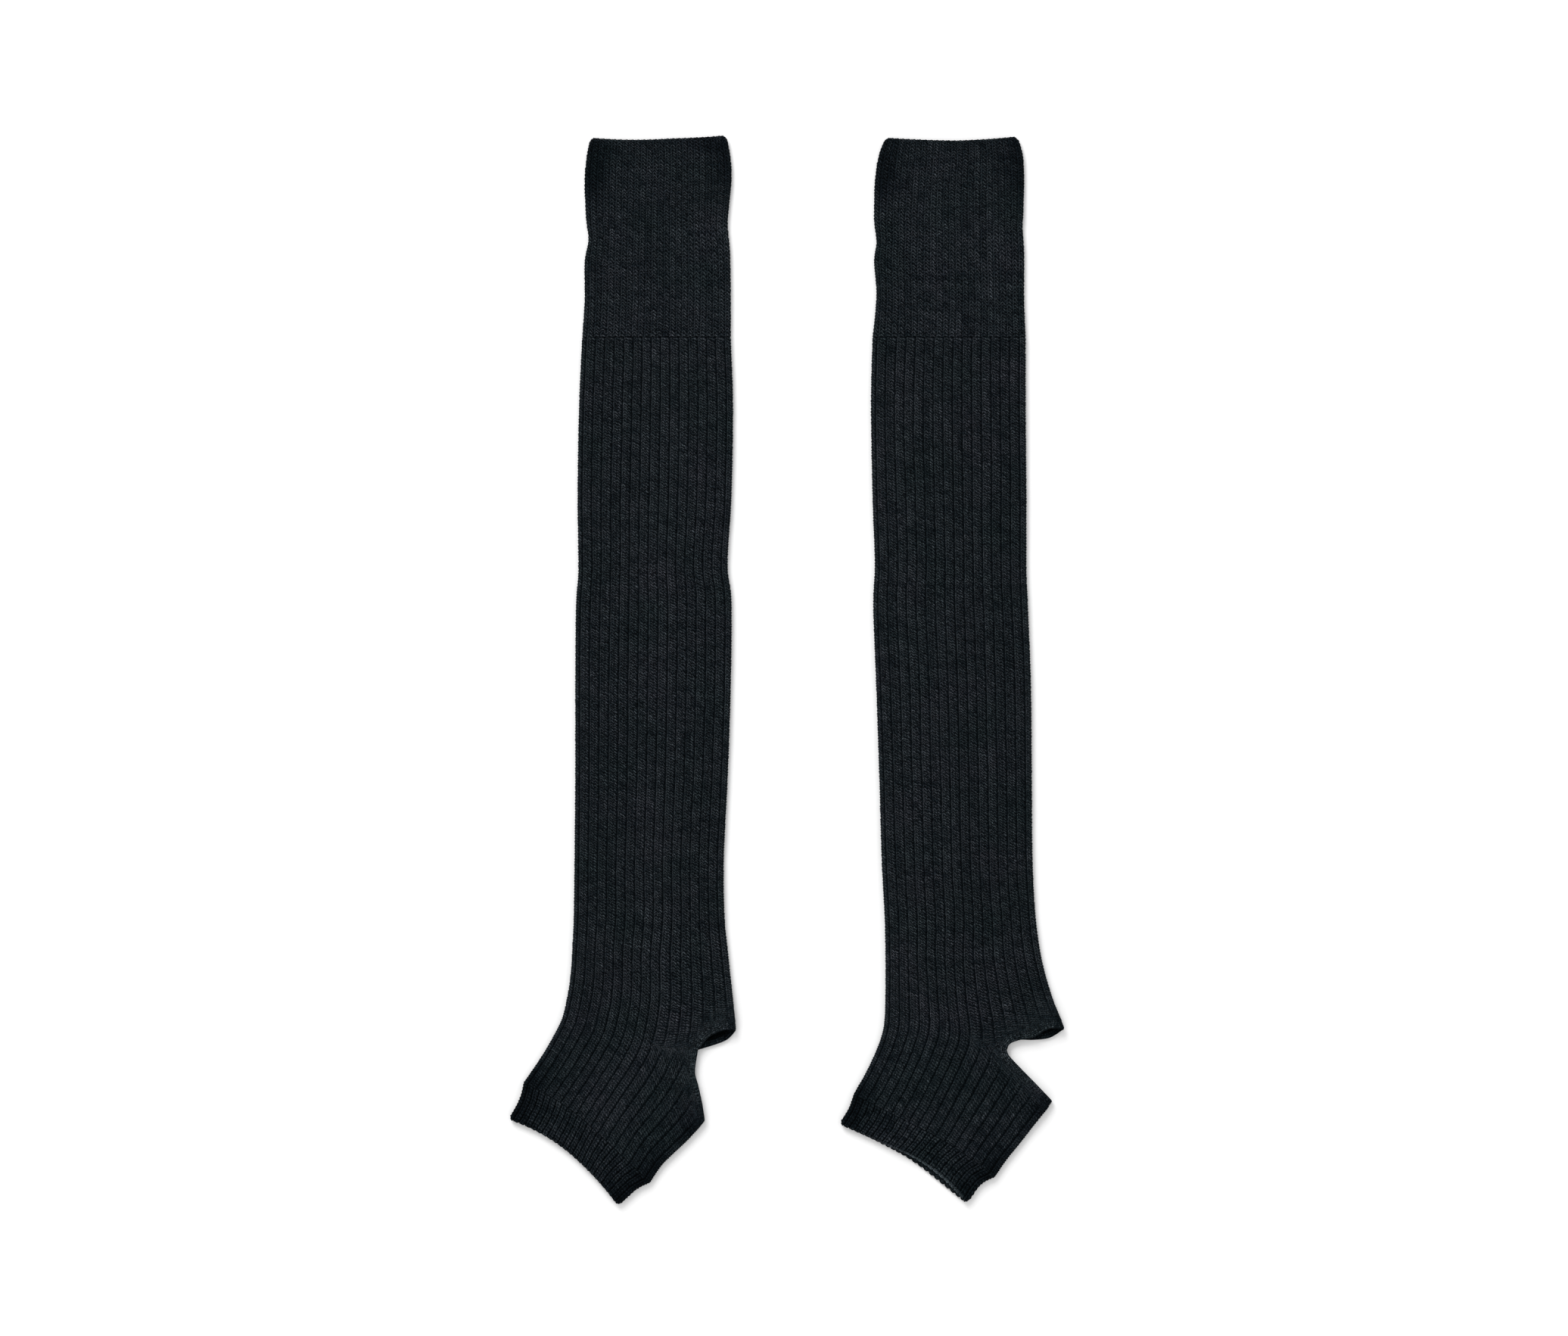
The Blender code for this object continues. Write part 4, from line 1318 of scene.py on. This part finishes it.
# Two ends of the slow differences in the dye.
GREENER = (0.78, 1.05, 0.96, 1)
BLUER = (1.20, 0.95, 1.06, 1)
# The noises, in cycles a metre: short fibres, and the dye.
FIBRE_SCALE, DYE_SCALE = 1700.0, 28.0
# The speckle is the fibre's noise times one less the other, and never below the least.
SPECKLE, SPECKLE_START, LEAST_SPECKLE = 6.0, 2.1, 0.1
DYE_START, DYE_RANGE = 0.8, 0.4
# The power on the painted light that makes the painted shade in the hollows darker still and the
# painted highlights narrower.
PAINTED_SHADE_POWER = 1.35
# How much rougher the fibres make the yarn, and how strong and how high their bump is.
FIBRE_ROUGHNESS = 0.1
FIBRE_BUMP, FIBRE_HEIGHT = 0.6, 0.00025
YARN_SURFACE = {
    "Sheen Weight": 0.01,
    "Sheen Roughness": 0.6,
    "Sheen Tint": (0.75, 0.85, 1.0, 1.0),
    "IOR": 1.35,
    "Specular IOR Level": 0.03,
}


def new_finish(name, sockets):
    """A new material, its tree and its surface, with these values in the surface's sockets."""
    material = bpy.data.materials.new(name)
    material.use_nodes = True
    surface = material.node_tree.nodes["Principled BSDF"]
    for socket, value in sockets.items():
        surface.inputs[socket].default_value = value
    return material, material.node_tree, surface


def knit_finish(name, dark, pale, roughness):
    """Matt yarn: paler and greyer on the crests of the stitches, a painted highlight, darker and
    bluer between them, painted shade, both read from the shade attribute, with the speckle of
    short fibres and slow differences in the dye."""
    material, tree, surface = new_finish(name, YARN_SURFACE)
    start = Wire(tree)

    def noise(scale, detail):
        return start.node(
            "ShaderNodeTexNoise", Vector=where, Scale=scale, Detail=detail, Roughness=0.5
        )

    def blend(share, first, second):
        mix = {"data_type": "RGBA"}
        return start.node("ShaderNodeMix", mix, output=2, _0=share, _6=first, _7=second)

    where = start.node("ShaderNodeTexCoord", output="Object")
    shade = start.node("ShaderNodeVertexColor", {"layer_name": "shade"})
    light = start.node("ShaderNodeSeparateColor", Color=shade)
    fibre, dye = noise(FIBRE_SCALE, 1.0), noise(DYE_SCALE, 2.0)
    speckle = start.math("MAXIMUM", fibre * SPECKLE - SPECKLE_START, LEAST_SPECKLE)
    tone = start.math("POWER", light, PAINTED_SHADE_POWER) * speckle * (DYE_START + dye * DYE_RANGE)
    yarn, lot = blend(light, dark, pale), blend(dye, GREENER, BLUER)
    dyed = start.node("ShaderNodeVectorMath", {"operation": "MULTIPLY"}, _0=yarn, _1=lot)
    toned = start.node("ShaderNodeVectorMath", {"operation": "SCALE"}, _0=dyed, Scale=tone)
    bump = start.node(
        "ShaderNodeBump", Strength=FIBRE_BUMP, Distance=FIBRE_HEIGHT, Height=fibre
    )
    rough = roughness + fibre * FIBRE_ROUGHNESS
    for socket, wire in (("Base Color", toned), ("Roughness", rough), ("Normal", bump)):
        tree.links.new(wire.socket, surface.inputs[socket])
    return material


# Each yarn's dark colour, for its painted shade, and its pale colour, for its painted highlights.
LEG_YARN = (0.0093, 0.0193, 0.0268, 1), (0.0171, 0.0204, 0.0231, 1)
RIB_YARN = (0.0090, 0.0188, 0.0263, 1), (0.0166, 0.0199, 0.0226, 1)
LEG_FINISH = knit_finish("charcoal_2x1_rib", *LEG_YARN, 0.80)
RIB_FINISH = knit_finish("charcoal_1x1_rib", *RIB_YARN, 0.80)
PLAIN_FINISH = knit_finish("charcoal_plain_knit", *LEG_YARN, 0.82)


# --- The pair ---------------------------------------------------------------------------

# The leg is split in two pieces at this course.
SPLIT_COURSE = 150
# How wide each tube is flat where its ribs are laid out, in millimetres.
FLAT_WIDTH = {"cuff": 96.0, "leg": 100.0, "toe_band": 104.0}
SEED_STEP = 10


def knit_leg_warmer(piece, seed):
    side = piece.side
    cuff_lie = Lie(piece, CUFF_KNIT.course, piece.cuff, drawn_in=True)
    leg_lie = Lie(piece, LEG_KNIT.course, piece.cuff[-1:] + piece.leg, piece.foot)
    toe_lie = Lie(piece, TOE_KNIT.course, piece.foot[-1:] + piece.toe_band)
    gore = np.array(piece.foot[0].gore)
    leg_fold, sole_fold = piece.leg[-1].right, piece.foot[0].right
    front, back = (
        HeelEdge(points, gore, LEG_BAND, 1, leg_fold)
        for points in (piece.heel.front_edge, piece.heel.back_edge)
    )
    sole = HeelEdge(piece.heel.sole_edge, gore, SOLE_BAND, -1, sole_fold)
    edges = ((front, back), (sole, sole))

    cuff_seed, leg_seed, toe_seed, band_seed = (seed + SEED_STEP * k for k in range(4))
    cuff_maker = Maker(
        piece, CUFF_KNIT, cuff_lie, FLAT_WIDTH["cuff"], cuff_seed,
        stretch_from=cuff_lie.courses + 1, open_start=True,
    )
    leg_maker = Maker(
        piece, LEG_KNIT, leg_lie, FLAT_WIDTH["leg"], leg_seed,
        stretch_from=leg_lie.turn_course - STRETCHING_COURSES / 2,
    )
    toe_maker = Maker(
        piece, TOE_KNIT, toe_lie, FLAT_WIDTH["toe_band"], toe_seed,
        stretch_from=-STRETCHING_COURSES, open_end=True, lip=piece.toe_lip,
    )

    cuff = knit_tube(f"{side}_cuff_knit", cuff_maker, RIB_FINISH)
    leg = knit_tube(f"{side}_leg_knit", leg_maker, LEG_FINISH, last=SPLIT_COURSE)
    ankle = knit_ankle(f"{side}_ankle_knit", leg_maker, LEG_FINISH, SPLIT_COURSE, edges)
    toe = knit_tube(f"{side}_toe_band_knit", toe_maker, RIB_FINISH)
    band = knit_heel_band(f"{side}_heel_edge_knit", piece, edges, PLAIN_FINISH, band_seed)

    for thing, node, slot in (
        (cuff, "cuff", "rib_knit"),
        (leg, "leg", "leg_knit"),
        (ankle, "leg", "leg_knit"),
        (toe, "toe_band", "rib_knit"),
        (band, "heel_edge", "plain_knit"),
    ):
        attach(thing, "root")
        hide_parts(f"{side}_{node}")


# --- The table, the light and the camera ------------------------------------------------

# In metres: half the table's width, how far its top is below the cloth, and how far the
# camera is above it.
TABLE_HALF = 3.0
TABLE_DROP = 0.0002
CAMERA_HEIGHT = 3.138
TABLE_SURFACE = {
    "Base Color": (0.93, 0.93, 0.93, 1.0),
    "Roughness": 0.9,
    "Specular IOR Level": 0.0,
}


def put(name, data, place=(0.0, 0.0, 0.0)):
    thing = bpy.data.objects.new(name, data)
    thing.location = place
    bpy.context.scene.collection.objects.link(thing)
    return thing


def add_table():
    data = bpy.data.meshes.new("table")
    corners = [(-1, -1), (1, -1), (1, 1), (-1, 1)]
    data.from_pydata([(TABLE_HALF * x, TABLE_HALF * y, 0) for x, y in corners], [], [(0, 1, 2, 3)])
    data.materials.append(new_finish("white_table", TABLE_SURFACE)[0])
    table = put("table", data, (0.0, 0.0, -TABLE_DROP))


def add_light(name, place, size, power):
    """A square light that looks at the middle of the pair."""
    data = bpy.data.lights.new(name, "AREA")
    data.shape = "SQUARE"
    data.size = size
    data.energy = power
    x, y, z = place
    light = put(name, data, place)
    light.rotation_euler = (math.atan2(math.hypot(x, y), z), 0.0, math.atan2(x, -y))


def add_world(strength):
    world = bpy.data.worlds.new("studio")
    world.use_nodes = True
    background = world.node_tree.nodes["Background"]
    background.inputs["Color"].default_value = (1.0, 1.0, 1.0, 1.0)
    background.inputs["Strength"].default_value = strength
    bpy.context.scene.world = world


def add_camera():
    """Straight above, looking down."""
    data = bpy.data.cameras.new("camera")
    data.lens = 110.0
    data.sensor_width = 36.0
    place = (-0.0021, 0.0018, FLAT_THICKNESS * MM + CAMERA_HEIGHT)
    bpy.context.scene.camera = put("camera", data, place)


add_table()
knit_leg_warmer(LEFT, seed=100)
knit_leg_warmer(RIGHT, seed=500)
add_world(strength=0.85)
add_light("window", place=(-1.5, 3.1, 2.8), size=2.2, power=128.0)
add_camera()
bpy.context.scene.view_settings.view_transform = "Standard"
